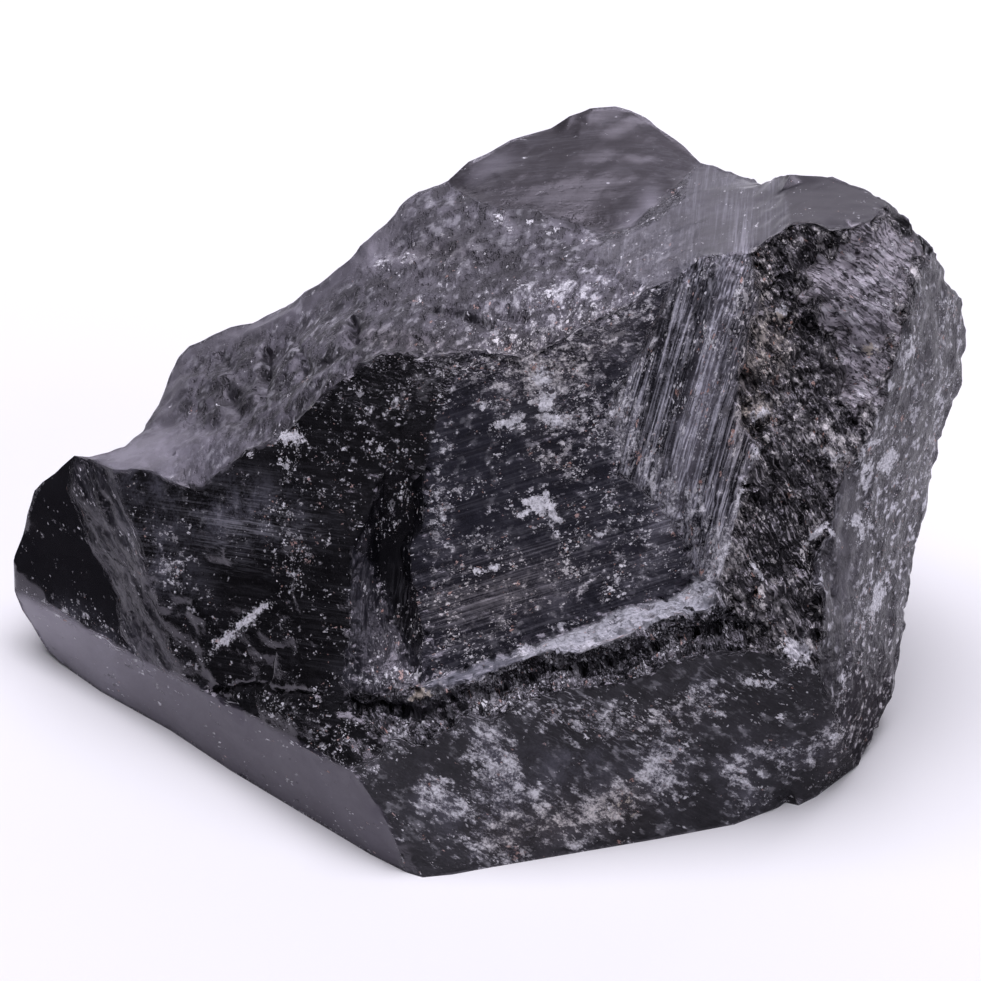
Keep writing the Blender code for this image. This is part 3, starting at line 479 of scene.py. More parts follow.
    (4.0, -13.5, 1.4, 0.8, 0, dict(face="nearFace", veil=0.6, sand=0.1)),
    (0.0, -14.0, 1.2, 0.8, -35, dict(veil=-0.5, crumbs=-0.05)),
    (13.4, 3.9, 0.9, 0.5, 20, dict(crumbs=0.15, lace=0.2, tan=0.3)),
    (18.8, 5.4, 1.0, 0.5, 80, dict(haze=-0.2, pits=0.2)),
    # Dark pits on the top slope and by the crest: painted shade where the surface turns away from
    # the light.
    (-13.0, 4.3, 1.0, 0.7, 20, dict(pits=0.45, veil=-0.1, haze=-0.3)),
    (-12.5, 6.6, 1.2, 0.5, 30, dict(pits=0.45, veil=-0.1)),
    (-9.4, 6.2, 0.8, 0.45, 80, dict(pits=0.4)),
    (-2.4, 12.0, 1.5, 0.5, 5, dict(pits=0.45, tan=0.2)),
    (-4.6, 7.5, 2.0, 0.45, -6, dict(pits=0.45, veil=-0.1, haze=-0.3, tan=0.35)),
    (2.6, 13.5, 3.4, 0.5, -14, dict(pits=0.3, veil=-0.1)),
    (6.4, -15.9, 1.3, 1.0, 20, dict(tan=0.4)),
    (3.4, -16.6, 1.5, 0.9, 20, dict(tan=0.35)),
    (0.8, -17.2, 1.2, 0.9, 20, dict(tan=0.3)),
    (4.0, -11.3, 3.2, 0.9, -28, dict(hairs=0.6, lace=-0.08)),
    (12.5, -9.4, 2.6, 0.6, -12, dict(hairs=0.3)),
    (18.8, -10.6, 3.4, 1.3, 72, dict(haze=0.16, tan=0.25, pits=-0.15)),
]

# Pale patches of quartz: across, up, half length, half width, angle, strength.
paleMarks = [
    (-9.9, 2.7, 0.7, 0.35, 10, 1.0), (-16.3, -4.1, 0.7, 0.3, -65, 0.5),
    (-12.5, -6.8, 1.9, 0.28, 40, 0.9), (2.4, -0.7, 0.8, 0.5, -8, 1.0),
    (3.1, -1.2, 0.7, 0.25, -50, 0.9), (1.8, -1.1, 0.6, 0.2, 25, 0.8),
    (2.8, -0.1, 0.4, 0.25, 75, 0.8), (3.2, -2.0, 0.9, 0.25, -60, 0.6),
    (2.5, 5.7, 0.6, 0.6, 30, 0.8), (2.8, 4.5, 0.7, 0.45, 60, 0.9), (3.1, 3.5, 0.7, 0.35, 0, 0.9),
    (0.9, 3.4, 1.0, 0.25, 20, 0.8), (-0.4, 4.3, 0.35, 0.3, 0, 0.7),
    (0.0, -1.0, 0.35, 0.2, 0, 0.6), (0.0, -3.9, 1.2, 0.2, 12, 0.7),
    (3.5, -6.8, 0.5, 0.25, 0, 0.7), (5.5, -2.2, 0.4, 0.2, 20, 0.6),
    (7.8, -2.4, 0.4, 0.2, 20, 0.6), (6.2, 4.2, 1.0, 0.3, 70, 0.6),
    (13.2, 1.7, 0.5, 0.25, 60, 0.8), (12.4, -0.6, 1.6, 0.18, 75, 0.7),
    (11.6, -3.4, 1.2, 0.22, 70, 0.8), (0.4, -13.9, 1.5, 0.6, -40, 0.42),
    (-2.9, -15.2, 0.7, 0.4, -40, 0.5), (6.3, -15.9, 1.1, 0.8, 50, 0.45),
    (8.4, -14.0, 0.9, 0.4, 80, 0.38), (10.6, -10.0, 0.9, 0.35, 0, 0.35),
    (13.9, -13.2, 0.8, 0.35, 0, 0.36), (13.4, -9.6, 1.0, 0.2, -8, 0.9),
    (15.3, -8.1, 0.8, 0.6, -40, 1.0), (17.2, -12.3, 0.6, 0.35, 0, 0.6),
    (19.9, 1.5, 0.7, 0.4, 60, 1.0), (18.9, 2.1, 0.9, 0.25, 40, 0.7),
    (18.7, 0.8, 0.6, 0.3, 80, 0.8), (19.4, -5.3, 1.1, 0.3, 70, 0.95),
    (18.2, -1.5, 0.5, 0.3, 0, 0.8), (22.3, 4.4, 1.0, 0.3, 85, 0.6),
    (22.8, 8.7, 0.9, 0.3, 90, 0.6), (21.0, 7.0, 0.9, 0.35, 75, 0.6),
    (18.6, -1.9, 0.8, 0.3, 80, 0.7), (17.7, -9.5, 0.9, 0.3, 80, 0.6),
    (14.6, 8.9, 0.35, 0.3, 0, 1.0), (18.95, 7.1, 0.36, 0.3, 0, 1.0),
    (13.5, 3.9, 0.9, 0.5, 20, 0.55), (17.4, 1.6, 1.0, 0.35, -30, 0.6),
    (16.3, -2.1, 0.8, 0.16, 45, 1.0), (17.0, -2.0, 0.6, 0.14, -60, 0.9),
    (13.3, -4.0, 0.7, 0.15, 120, 0.8), (0.4, 13.6, 0.3, 0.22, 0, 0.8),
    (-3.5, -10.2, 0.75, 0.22, 12, 1.0), (1.8, -7.9, 0.6, 0.3, 20, 0.8),
    (7.2, 13.4, 0.4, 0.2, 20, 0.4), (5.3, 12.5, 0.5, 0.2, 0, 0.5), (3.1, 10.0, 0.5, 0.3, 0, 0.8),
    (1.6, 10.3, 0.8, 0.3, 12, 0.45), (4.0, 10.4, 0.4, 0.25, 60, 0.6),
    (-5.5, 11.4, 0.4, 0.28, 30, 0.6), (-4.2, 11.6, 0.4, 0.28, 0, 0.6),
    (1.0, 13.0, 0.25, 0.2, 0, 0.6), (3.2, 13.1, 0.3, 0.2, -20, 0.55),
    (-5.6, -9.7, 1.5, 0.3, -8, 0.4),
]
warmMarks = [
    (-15.0, -3.0, 0.3), (-9.0, -3.6, 0.3), (-10.3, -4.0, 0.3), (-8.5, -6.6, 0.25),
    (-9.0, -10.5, 0.25), (-5.0, 3.0, 0.25), (-4.5, -2.0, 0.3), (-1.6, -3.5, 0.3),
    (2.1, -5.8, 0.3), (14.5, 8.5, 0.35), (14.3, 7.8, 0.3), (18.95, 7.1, 0.35), (-14.8, 4.1, 0.25),
    (-14.0, 3.6, 0.3), (-9.4, 5.5, 0.3), (-3.5, -10.2, 0.5), (1.2, -18.1, 0.4), (6.8, -15.6, 0.6),
    (-4.0, -1.0, 0.3), (-7.4, -1.2, 0.3),
]


def stoneCopy(node, name):
    copy = bpy.data.objects.new(name, node.data.copy())
    bpy.context.scene.collection.objects.link(copy)
    bpy.ops.object.select_all(action="DESELECT")
    bpy.context.view_layer.objects.active = copy
    copy.select_set(True)
    copy.data.materials.clear()
    bpy.ops.object.mode_set(mode="EDIT")
    bpy.ops.mesh.select_all(action="SELECT")
    bpy.ops.mesh.remove_doubles(threshold=1e-6)
    bpy.ops.object.mode_set(mode="OBJECT")
    bpy.ops.mesh.customdata_custom_splitnormals_clear()
    return copy


def readVectors(items, name):
    values = np.empty(len(items) * 3)
    items.foreach_get(name, values)
    return values.reshape(-1, 3)


def cutFiner(stone, chosen):
    bpy.ops.object.mode_set(mode="EDIT")
    bpy.ops.mesh.select_mode(type="FACE")
    bpy.ops.mesh.select_all(action="DESELECT")
    bpy.ops.object.mode_set(mode="OBJECT")
    stone.data.polygons.foreach_set("select", chosen)
    bpy.ops.object.mode_set(mode="EDIT")
    bpy.ops.mesh.subdivide(number_cuts=1)
    bpy.ops.mesh.select_all(action="SELECT")
    bpy.ops.mesh.quads_convert_to_tris()
    bpy.ops.object.mode_set(mode="OBJECT")


def awayFrom(places, line):
    away = np.full(len(places), np.inf)
    for start, end in zip(np.array(line[:-1]), np.array(line[1:])):
        way = end - start
        offset = places - start
        along = np.clip(offset @ way / max(way @ way, 1e-9), 0.0, 1.0)
        away = np.minimum(away, np.linalg.norm(offset - along[:, None] * way, axis=1))
    return away


def depthInside(places, outline):
    nearest = awayFrom(places, outline + outline[:1])
    inside = np.zeros(len(places), bool)
    corners = np.array(outline)
    for start, end in zip(corners, np.roll(corners, -1, axis=0)):
        way = end - start
        if way[1] != 0.0:
            crosses = (start[1] > places[:, 1]) != (end[1] > places[:, 1])
            reach = start[0] + (places[:, 1] - start[1]) * way[0] / way[1]
            inside ^= crosses & (places[:, 0] < reach)
    return np.where(inside, nearest, -nearest)


def distanceTo(targets, points):
    nearby = kdtree.KDTree(len(targets))
    for number, target in enumerate(targets):
        nearby.insert(target, number)
    nearby.balance()
    return np.array([nearby.find(point)[2] for point in points.tolist()])


def facingOf(points, normals):
    toEye = eye - points
    return (normals * toEye).sum(1) / np.linalg.norm(toEye, axis=1)


def smoothStep(value, low, high):
    share = np.clip((value - low) / (high - low), 0.0, 1.0)
    return share * share * (3.0 - 2.0 * share)


def noiseOf(points):
    return np.array([noise.noise(point) for point in points.tolist()])


def fractalOf(points, octaves=4):
    return np.array([noise.fractal(point, 1.0, 2.0, octaves) for point in points.tolist()])


def swayOf(pattern, points, seeds):
    return np.stack([pattern(points + seed) for seed in seeds], axis=1)


# Small flat facets: each cell of the pattern leans its own way.
def facetsOf(points):
    heights = []
    for point in points.tolist():
        nearest = noise.voronoi(point)[1][0]
        lean = noise.noise_vector(nearest * 7.3)
        heights.append(sum((a - b) * c for a, b, c in zip(point, nearest, lean)) + 0.5 * lean.x)
    return np.array(heights)


def evenOut(values, ends, where, rounds):
    count = len(values)
    linked = np.bincount(ends.ravel(), minlength=count)
    for _ in range(rounds):
        total = np.bincount(ends[:, 0], values[ends[:, 1]], count)
        total += np.bincount(ends[:, 1], values[ends[:, 0]], count)
        values = np.where(where, total / linked, values)
    return values


def creasePoints(data, sharpest, perEdge=4):
    bends = {}
    for polygon in data.polygons:
        for key in polygon.edge_keys:
            bends.setdefault(key, []).append(polygon.normal)
    made = []
    for (first, second), sides in bends.items():
        if len(sides) == 2 and sides[0].angle(sides[1], 0.0) > math.radians(sharpest):
            start, end = (data.vertices[number].co / mm for number in (first, second))
            made += [start.lerp(end, step / perEdge) for step in range(perEdge)]
    return made


# How much of each point belongs to each face; the last column is the far side.
def sharesOf(points, normals):
    places = toSight(points)
    places += borders["sway"] * swayOf(noiseOf, points * borders["swaysPerMm"], (0.0, 31.0))
    tears = swayOf(fractalOf, points * borders["tearsPerMm"], (3.0, 47.0))
    seen = smoothStep(facingOf(points, normals), 0.0, 0.1)
    blur = borders["blur"]
    columns = [
        seen * face.get("weight", 1.0) * smoothStep(
            depthInside(places + face.get("torn", 0.0) * tears, face["outline"]), -blur, blur
        )
        for face in faces.values()
    ]
    columns.append(borders["least"] + (1.0 - seen))
    table = np.stack(columns, axis=1)
    return table / table.sum(1, keepdims=True)


def striaeAxes(normal, angle):
    seen = math.cos(math.radians(angle)) * across + math.sin(math.radians(angle)) * upward
    along = seen - outward * (seen @ normal) / (outward @ normal)
    along /= np.linalg.norm(along)
    return along, np.cross(normal, along), normal


def grainPlaces(points, axes, striae):
    _, _, pitch, length = striae
    steps = (pitch * length, pitch, pitch)
    return np.stack([points @ axis / step for axis, step in zip(axes, steps)], axis=1)


print("stone: copying the solid and cutting it finer")
stone = stoneCopy(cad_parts["tourmalinated_quartz"], "brokenTourmaline")
creases = creasePoints(stone.data, chips["sharpest"])
for _ in range(2):
    cutFiner(stone, readVectors(stone.data.polygons, "center")[:, 2] / mm > ground["clear"])
centres = readVectors(stone.data.polygons, "center") / mm
centrePlaces = toSight(centres)
chosen = np.zeros(len(centres), bool)
for name in finest:
    chosen |= depthInside(centrePlaces, faces[name]["outline"]) > 0.0
for line, halfWidth, _ in grooves:
    chosen |= awayFrom(centrePlaces, line) < halfWidth + grooveEdge
chosen &= facingOf(centres, readVectors(stone.data.polygons, "normal")) > 0.0
cutFiner(stone, chosen)
print(f"stone: {len(stone.data.polygons)} faces")

points = readVectors(stone.data.vertices, "co") / mm
normals = readVectors(stone.data.vertex_normals, "vector")
share = sharesOf(points, normals)
looks = list(faces.values()) + [farSide]
frames = []              # each face's directions: along its striae, across them, and outwards
for column, look in enumerate(looks[:-1]):
    lean = (normals * share[:, column, None] ** 2).sum(0)
    frames.append(striaeAxes(lean / np.linalg.norm(lean), look["striae"][0]))
lean = np.array(farSide["along"])
lean /= np.linalg.norm(lean)
first = np.cross(lean, (0.0, 1.0, 0.0))
first /= np.linalg.norm(first)
frames.append((lean, first, np.cross(lean, first)))


def blendOf(name):
    return share @ np.array([look.get(name, 0.0) for look in looks])


print("stone: breaking up its faces")
facing = facingOf(points, normals)
fromSight = distanceTo(points[facing > 0.0][::6].tolist(), points)      # every sixth will do
behind = smoothStep(fromSight, *farSide["begins"])
behind *= smoothStep(points[:, 2], *farSide["aboveFoot"])
lift = np.zeros(len(points))
for column, look in enumerate(looks):
    part = np.nonzero(share[:, column] > borders["least"])[0]
    spots = points[part]
    rise = look["striae"][1] * fractalOf(grainPlaces(spots, frames[column], look["striae"]), 3)
    depth, size = look["facets"]
    if depth > 0.0:
        rise += depth * facetsOf(spots / size)
        finer = facetsOf(spots / (smallFacets["size"] * size) + 5.0)
        rise += smallFacets["depth"] * depth * finer
    depth, size = look["grit"]
    rise += depth * fractalOf(spots / size + 11.0, 4)
    if look is farSide:
        steps = spots @ frames[column][1] / look["stepPitch"]
        steps = steps + 0.9 * fractalOf(spots / look["stepBend"] + 61.0, 3)
        steps -= np.floor(steps)
        steps = np.minimum(steps, (1.0 - steps) * (1.0 - look["stepFall"]) / look["stepFall"])
        rise += look["stepHeight"] * behind[part] * (steps - 0.6)
    lift[part] += share[part, column] * rise

worn = np.exp(-(distanceTo(creases, points) / chips["reach"]) ** 2)
broken = fractalOf(points / chips["size"] + 23.0, 4)
lift -= chips["depth"] * blendOf("chipping") * worn * smoothStep(broken, -0.1, 0.6)

places = toSight(points)
inFront = smoothStep(1.0 - share[:, -1], 0.3, 0.8)
wander = wanders["reach"] * swayOf(noiseOf, points * wanders["perMm"], (7.0, 51.0))
cut = np.zeros(len(points))
for line, halfWidth, depth in grooves:
    shape = np.exp(-(awayFrom(places + wander, line) / halfWidth) ** 2)
    cut = np.maximum(cut, depth * shape * inFront)
lift -= cut
for scoopX, scoopZ, radius, depth in farScoops:
    away = np.linalg.norm(points[:, ::2] - (scoopX, scoopZ) + 2.0 * wander, axis=1)
    bowl = np.clip(1.0 - (away / radius) ** 2, 0.0, 1.0)
    ripples = ripple["height"] * np.sin(2.0 * math.pi * away / ripple["pitch"]) * np.sqrt(bowl)
    lift -= (depth * bowl + ripples) * behind * smoothStep(normals[:, 1], 0.2, 0.5)

# A calmer skyline, apart from its right end.
ends = np.empty(len(stone.data.edges) * 2, np.int64)
stone.data.edges.foreach_get("vertices", ends)
onSkyline = (np.abs(facing) < skyline["turned"]) & (places[:, 0] < skyline["rightEnd"])
lift = evenOut(lift, ends.reshape(-1, 2), onSkyline, skyline["rounds"])
for *spot, radius, height in bulges:
    away = np.linalg.norm(places - spot, axis=1)
    lift += height * np.exp(-(away / radius) ** 2)

# The foot stays flat, and nothing leaves the box of the CAD.
onGround = points[:, 2] < ground["foot"]
lift[onGround] = 0.0
low, high = (np.array(corner) / mm for corner in cadBox)
moved = np.clip(points + normals * lift[:, None], low, high)
moved[~onGround, 2] = np.maximum(moved[~onGround, 2], ground["clear"])
stone.data.vertices.foreach_set("co", (moved * mm).ravel())
stone.data.update()

print("stone: marking its faces, patches and grains")


def addField(name, values, kind="FLOAT", domain="POINT"):
    field = stone.data.attributes.new(name, kind, domain)
    slot = {"FLOAT": "value", "FLOAT_COLOR": "color", "FLOAT_VECTOR": "vector"}[kind]
    field.data.foreach_set(slot, np.ascontiguousarray(values, np.float32).ravel())


def patchOf(patchAcross, patchUp, halfLength, halfWidth, angle):
    turn = math.radians(angle)
    offset = places - (patchAcross, patchUp)
    along = offset @ (math.cos(turn), math.sin(turn)) / halfLength
    aside = offset @ (-math.sin(turn), math.cos(turn)) / halfWidth
    return np.exp(-0.7 * (along ** 2 + aside ** 2))


def markField(marks):
    field = np.zeros(len(places))
    for *spot, strength in marks:
        field = np.maximum(field, strength * patchOf(*spot))
    return field * inFront


def zoneField(name):
    field = np.zeros(len(places))
    for *spot, added in zones:
        if name in added:
            amount = added[name] * patchOf(*spot)
            if "face" in added:
                amount *= share[:, list(faces).index(added["face"])]
            field += amount
    return field * inFront


addField("roughness", blendOf("roughness"))
bare = smoothStep(fractalOf(points / farSide["bareSize"] + 71.0, 2), -0.05, 0.12)
bare = farSide["bareShare"] * behind * bare
farPale = behind * smoothStep(fractalOf(points / farSide["paleSize"] + 19.0, 3), 0.4, 0.8)
for name in (
    "crumbs", "sand", "veil", "lines", "glint", "lace", "hairs", "dashes", "blobs", "blotch",
    "haze", "tan", "pits",
):
    addField(name, np.clip((blendOf(name) + zoneField(name)) * (1.0 - bare), 0.0, 1.0))
addField("tone", np.column_stack([blendOf("colour"), np.ones(len(points))]), "FLOAT_COLOR")
addField("pale", np.maximum(markField(paleMarks), farSide["paleShare"] * farPale))
addField("warm", markField([(a, u, radius, radius, 0.0, 1.0) for a, u, radius in warmMarks]))
addField("stretch", blendOf("stretch"))
# How deep each point lies in a groove; the material takes loose matter out of the grooves so they
# show darker: painted shade.
addField("grooveShade", np.clip(cut / 0.3 - 0.1, 0.0, 1.0))

# Each face's corners hold its place along and across its own striae, in mm.
corners = np.empty(len(stone.data.loops), np.int64)
stone.data.loops.foreach_get("vertex_index", corners)
ownFace = share[corners].reshape(-1, 3, len(looks)).sum(1).argmax(1)
grain = np.zeros((len(corners), 3))
for column, axes in enumerate(frames):
    part = np.repeat(ownFace == column, 3)
    grain[part] = points[corners[part]] @ np.stack(axes, axis=1)
addField("grain", grain, "FLOAT_VECTOR", "CORNER")
bpy.ops.object.shade_smooth_by_angle(angle=math.radians(smoothBelow))

print("stone: material")


# These add a node to the tree that is being built.
def feed(socket, value):
    if isinstance(value, bpy.types.NodeSocket):
        tree.links.new(value, socket)
    else:
        socket.default_value = value


def addNode(kind, values, **settings):
    node = tree.nodes.new(kind)
    for name, value in settings.items():
        setattr(node, name, value)
    for name, value in values.items():
        feed(node.inputs[name], value)
    return node.outputs


def attribute(name, output="Fac"):
    return addNode("ShaderNodeAttribute", {}, attribute_name=name)[output]


def mathNode(operation, *values):
    return addNode("ShaderNodeMath", dict(enumerate(values)), operation=operation)[0]


def times(first, second):
    return mathNode("MULTIPLY", first, second)


def timesPlus(first, second, third):
    return mathNode("MULTIPLY_ADD", first, second, third)


def larger(first, second):
    return mathNode("MAXIMUM", first, second)


def vectorNode(operation, first, second):
    values = {0: first, "Scale" if operation == "SCALE" else 1: second}
    return addNode("ShaderNodeVectorMath", values, operation=operation)[0]


def stepNode(value, low, high):
    values = {"Value": value, "From Min": low, "From Max": high}
    return addNode("ShaderNodeMapRange", values, interpolation_type="SMOOTHSTEP")["Result"]


def mixColour(share, first, second, **settings):
    values = {0: share, 6: first, 7: second}
    return addNode("ShaderNodeMix", values, data_type="RGBA", **settings)[2]


def noiseNode(vector, scale, detail, roughness, output="Fac"):
    values = {"Vector": vector, "Scale": scale, "Detail": detail, "Roughness": roughness}
    return addNode("ShaderNodeTexNoise", values)[output]


def newGroup(name, inputs, outputs):
    group = bpy.data.node_groups.new(name, "ShaderNodeTree")
    for socket, value in inputs.items():
        kind = "NodeSocketVector" if value is None else "NodeSocketFloat"
        made = group.interface.new_socket(name=socket, in_out="INPUT", socket_type=kind)
        if value is not None:
            made.default_value = value
    for socket in outputs:
        group.interface.new_socket(name=socket, in_out="OUTPUT", socket_type="NodeSocketFloat")
    given, put = group.nodes.new("NodeGroupInput"), group.nodes.new("NodeGroupOutput")
    return group, given.outputs, put.inputs


# Crumbs of uneven outline and brightness. Each cell of the pattern holds one crumb or none.
crumbGroup, given, put = newGroup(
    "mineralCrumbs", {"Vector": None, "Shake": None, "Per mm": 3.0, "Chance": 0.2},
    ("Mask", "Shade", "Rare"),
)
tree = crumbGroup
shake = vectorNode("SCALE", given["Shake"], mathNode("DIVIDE", 1.9, given["Per mm"]))
shaken = vectorNode("ADD", given["Vector"], shake)
cells = addNode("ShaderNodeTexVoronoi", {"Vector": shaken, "Scale": given["Per mm"]})
pick = addNode("ShaderNodeSeparateColor", {"Color": cells["Color"]})
there = mathNode("LESS_THAN", pick["Red"], given["Chance"])
size = timesPlus(pick["Green"], 0.38, 0.16)
body = stepNode(cells["Distance"], size, mathNode("SUBTRACT", size, 0.15))
feed(put["Mask"], times(body, there))
feed(put["Shade"], mathNode("POWER", pick["Blue"], 1.3))
feed(put["Rare"], mathNode("GREATER_THAN", mathNode("FRACT", times(pick["Green"], 57.0)), 0.93))

# Fine lines that run along a face's own grain.
striaeGroup, given, put = newGroup(
    "fineStriae", {"Grain": None, "Pitch": 0.3, "Length": 10.0}, ("Height",)
)
tree = striaeGroup
wide = mathNode("DIVIDE", 1.0, given["Pitch"])
long = mathNode("DIVIDE", wide, given["Length"])
scale = addNode("ShaderNodeCombineXYZ", {"X": long, "Y": wide, "Z": wide})[0]
feed(put["Height"], noiseNode(vectorNode("MULTIPLY", given["Grain"], scale), 1.0, 2.0, 0.6))

tints = {
    "darkGrit": (0.045, 0.043, 0.052, 1.0), "greyDust": (0.15, 0.147, 0.185, 1.0),
    "quartzWhite": (0.86, 0.85, 0.91, 1.0), "quartzGrey": (0.42, 0.415, 0.46, 1.0),
    "rustPink": (0.46, 0.26, 0.22, 1.0), "cream": (0.52, 0.46, 0.40, 1.0),
    # The haze tint is a smooth film of dust, and on the foot and the wrinkled patch a painted
    # sheen.
    "blotch": (0.13, 0.122, 0.15, 1.0), "haze": (0.25, 0.235, 0.28, 1.0),
    "dashesAndShade": (0.004, 0.004, 0.005, 1.0), "blob": (0.68, 0.67, 0.74, 1.0),
    "hair": (0.36, 0.35, 0.40, 1.0), "tan": (1.0, 0.86, 0.66, 1.0),
    "darkLine": (0.075, 0.073, 0.092, 1.0), "lightLine": (0.56, 0.555, 0.64, 1.0),
    "darkNet": (0.06, 0.059, 0.08, 1.0),
}
finish = {               # striae: pitch in mm, how many times longer than wide
    "ior": 1.64, "specularTint": (0.93, 0.87, 1.0, 1.0),
    "fineStriae": (0.10, 60.0), "broadStriae": (0.55, 20.0), "strands": (0.115, 11.0),
    "crumbClustersPerMm": 0.42, "sandClustersPerMm": 0.8,
    "coarsePerMm": 2.7, "smallPerMm": 5.6, "tinyPerMm": 10.5,
    "coveredRoughness": 0.6, "bumpStrength": 0.9, "bumpDistance": 0.1,
}
material = bpy.data.materials.new("blackTourmaline")
material.use_nodes = True
tree = material.node_tree
surface = tree.nodes["Principled BSDF"].inputs
surface["IOR"].default_value = finish["ior"]
surface["Specular Tint"].default_value = finish["specularTint"]


def striaeOf(vector, pitch, length):
    values = {"Grain": vector, "Pitch": pitch, "Length": length}
    return addNode("ShaderNodeGroup", values, node_tree=striaeGroup)["Height"]


def clustered(amount, perMm):
    clusters = stepNode(noiseNode(drawn, perMm, 2.0, 0.62), 0.47, 0.66)
    return times(amount, timesPlus(clusters, 3.1, 0.08))


def crumbsOf(perMm, chance):
    values = {"Vector": drawn, "Shake": shake, "Per mm": perMm, "Chance": chance}
    return addNode("ShaderNodeGroup", values, node_tree=crumbGroup)


inMm = vectorNode("SCALE", addNode("ShaderNodeTexCoord", {})["Object"], 1.0 / mm)
grain = attribute("grain", "Vector")
shorter = mathNode("DIVIDE", 1.0, attribute("stretch"))
shorter = addNode("ShaderNodeCombineXYZ", {"X": shorter, "Y": 1.0, "Z": 1.0})[0]
drawn = vectorNode("MULTIPLY", grain, shorter)
# Less loose matter in the grooves, so they show darker: painted shade in the grooves.
clear = mathNode("SUBTRACT", 1.0, times(attribute("grooveShade"), 0.85))
paleField = attribute("pale")
warmField = attribute("warm")
crumbAmount = timesPlus(warmField, 0.8, timesPlus(paleField, 0.7, attribute("crumbs")))
crumbAmount = times(crumbAmount, clear)
sandAmount = times(timesPlus(paleField, 0.6, attribute("sand")), clear)
fine = striaeOf(grain, *finish["fineStriae"])
broad = striaeOf(grain, *finish["broadStriae"])
cloud = noiseNode(inMm, 0.5, 3.0, 0.6)
speck = noiseNode(inMm, 7.0, 2.0, 0.8)

# A thin veil of dust, cloudy in the large and grainy in the small, and dust along the striae.
veil = stepNode(timesPlus(speck, 0.35, times(cloud, 0.9)), 0.5, 0.85)
veil = times(times(veil, attribute("veil")), clear)
lined = timesPlus(speck, 0.30, timesPlus(fine, 0.45, times(broad, 0.8)))
lineAmount = attribute("lines")
lined = times(stepNode(timesPlus(cloud, 0.35, lined), 0.80, 1.12), lineAmount)

shake = vectorNode("SUBTRACT", noiseNode(drawn, 7.0, 2.0, 0.7, "Color"), (0.5, 0.5, 0.5))
sandChance = clustered(sandAmount, finish["sandClustersPerMm"])
coarse = crumbsOf(finish["coarsePerMm"], clustered(crumbAmount, finish["crumbClustersPerMm"]))
small = crumbsOf(finish["smallPerMm"], sandChance)
tiny = crumbsOf(finish["tinyPerMm"], sandChance)

# Matter that clings together in ragged nets.
laceAmount = times(timesPlus(paleField, 0.5, attribute("lace")), clear)
patchy = noiseNode(drawn, 2.1, 3.0, 0.6)
nets = timesPlus(laceAmount, 0.36, noiseNode(drawn, 2.7, 4.0, 0.76))
lace = stepNode(timesPlus(patchy, 0.6, nets), 0.99, 1.14)

# Light blobs, soft blotches, fine hairs, and dark dashes and pits; the pits that zones add to the
# top slope are painted shade.
blob = times(stepNode(timesPlus(cloud, 0.35, patchy), 0.71, 0.86), attribute("blobs"))
blotch = times(stepNode(noiseNode(drawn, 1.25, 3.0, 0.62), 0.44, 0.60), attribute("blotch"))
bent = vectorNode("SCALE", noiseNode(inMm, 0.7, 1.0, 0.5, "Color"), 0.9)
strands = striaeOf(vectorNode("ADD", grain, bent), *finish["strands"])
hair = times(stepNode(strands, 0.57, 0.67), attribute("hairs"))
dashAmount = attribute("dashes")
dashesAndShade = times(stepNode(timesPlus(dashAmount, -0.05, strands), 0.42, 0.35), dashAmount)
dashesAndShade = larger(dashesAndShade, times(stepNode(patchy, 0.47, 0.36), attribute("pits")))

# Solid patches of quartz with crumbling edges.
ragged = timesPlus(noiseNode(inMm, 2.4, 4.0, 0.75), 2.6, -1.3)
pale = stepNode(mathNode("ADD", paleField, ragged), 0.50, 0.66)
warm = stepNode(mathNode("ADD", warmField, ragged), 0.45, 0.7)

lineColour = mixColour(stepNode(fine, 0.38, 0.66), tints["darkLine"], tints["lightLine"])
netShade = stepNode(timesPlus(cloud, 0.6, mathNode("ADD", patchy, speck)), 1.12, 1.60)
netColour = mixColour(netShade, tints["darkNet"], tints["quartzWhite"])
base = attribute("tone", "Color")
for amount, colour in (
    (blotch, tints["blotch"]), (veil, tints["greyDust"]), (attribute("haze"), tints["haze"]),
    (times(dashesAndShade, 0.9), tints["dashesAndShade"]), (blob, tints["blob"]), (hair, tints["hair"]),
    (lined, lineColour), (times(lace, 0.85), netColour),
):
    base = mixColour(amount, base, colour)
for layer, strength in ((tiny, 0.8), (small, 0.9), (coarse, 0.95)):
    colour = mixColour(layer["Shade"], tints["darkGrit"], tints["quartzWhite"])
    colour = mixColour(times(layer["Rare"], 0.8), colour, tints["rustPink"])
    colour = mixColour(times(warm, 0.7), colour, tints["rustPink"])
    base = mixColour(times(layer["Mask"], strength), base, colour)
base = mixColour(attribute("tan"), base, tints["tan"], blend_type="MULTIPLY")
white = mixColour(stepNode(speck, 0.35, 0.6), tints["quartzGrey"], tints["quartzWhite"])
base = mixColour(times(pale, 0.9), base, mixColour(warm, white, tints["cream"]))
feed(surface["Base Color"], base)

loose = larger(larger(coarse["Mask"], small["Mask"]), pale)
loose = larger(loose, times(lace, 0.7))
covered = larger(loose, times(lined, 0.7))
values = {0: covered, 2: attribute("roughness"), 3: finish["coveredRoughness"]}
feed(surface["Roughness"], addNode("ShaderNodeMix", values, data_type="FLOAT")[0])

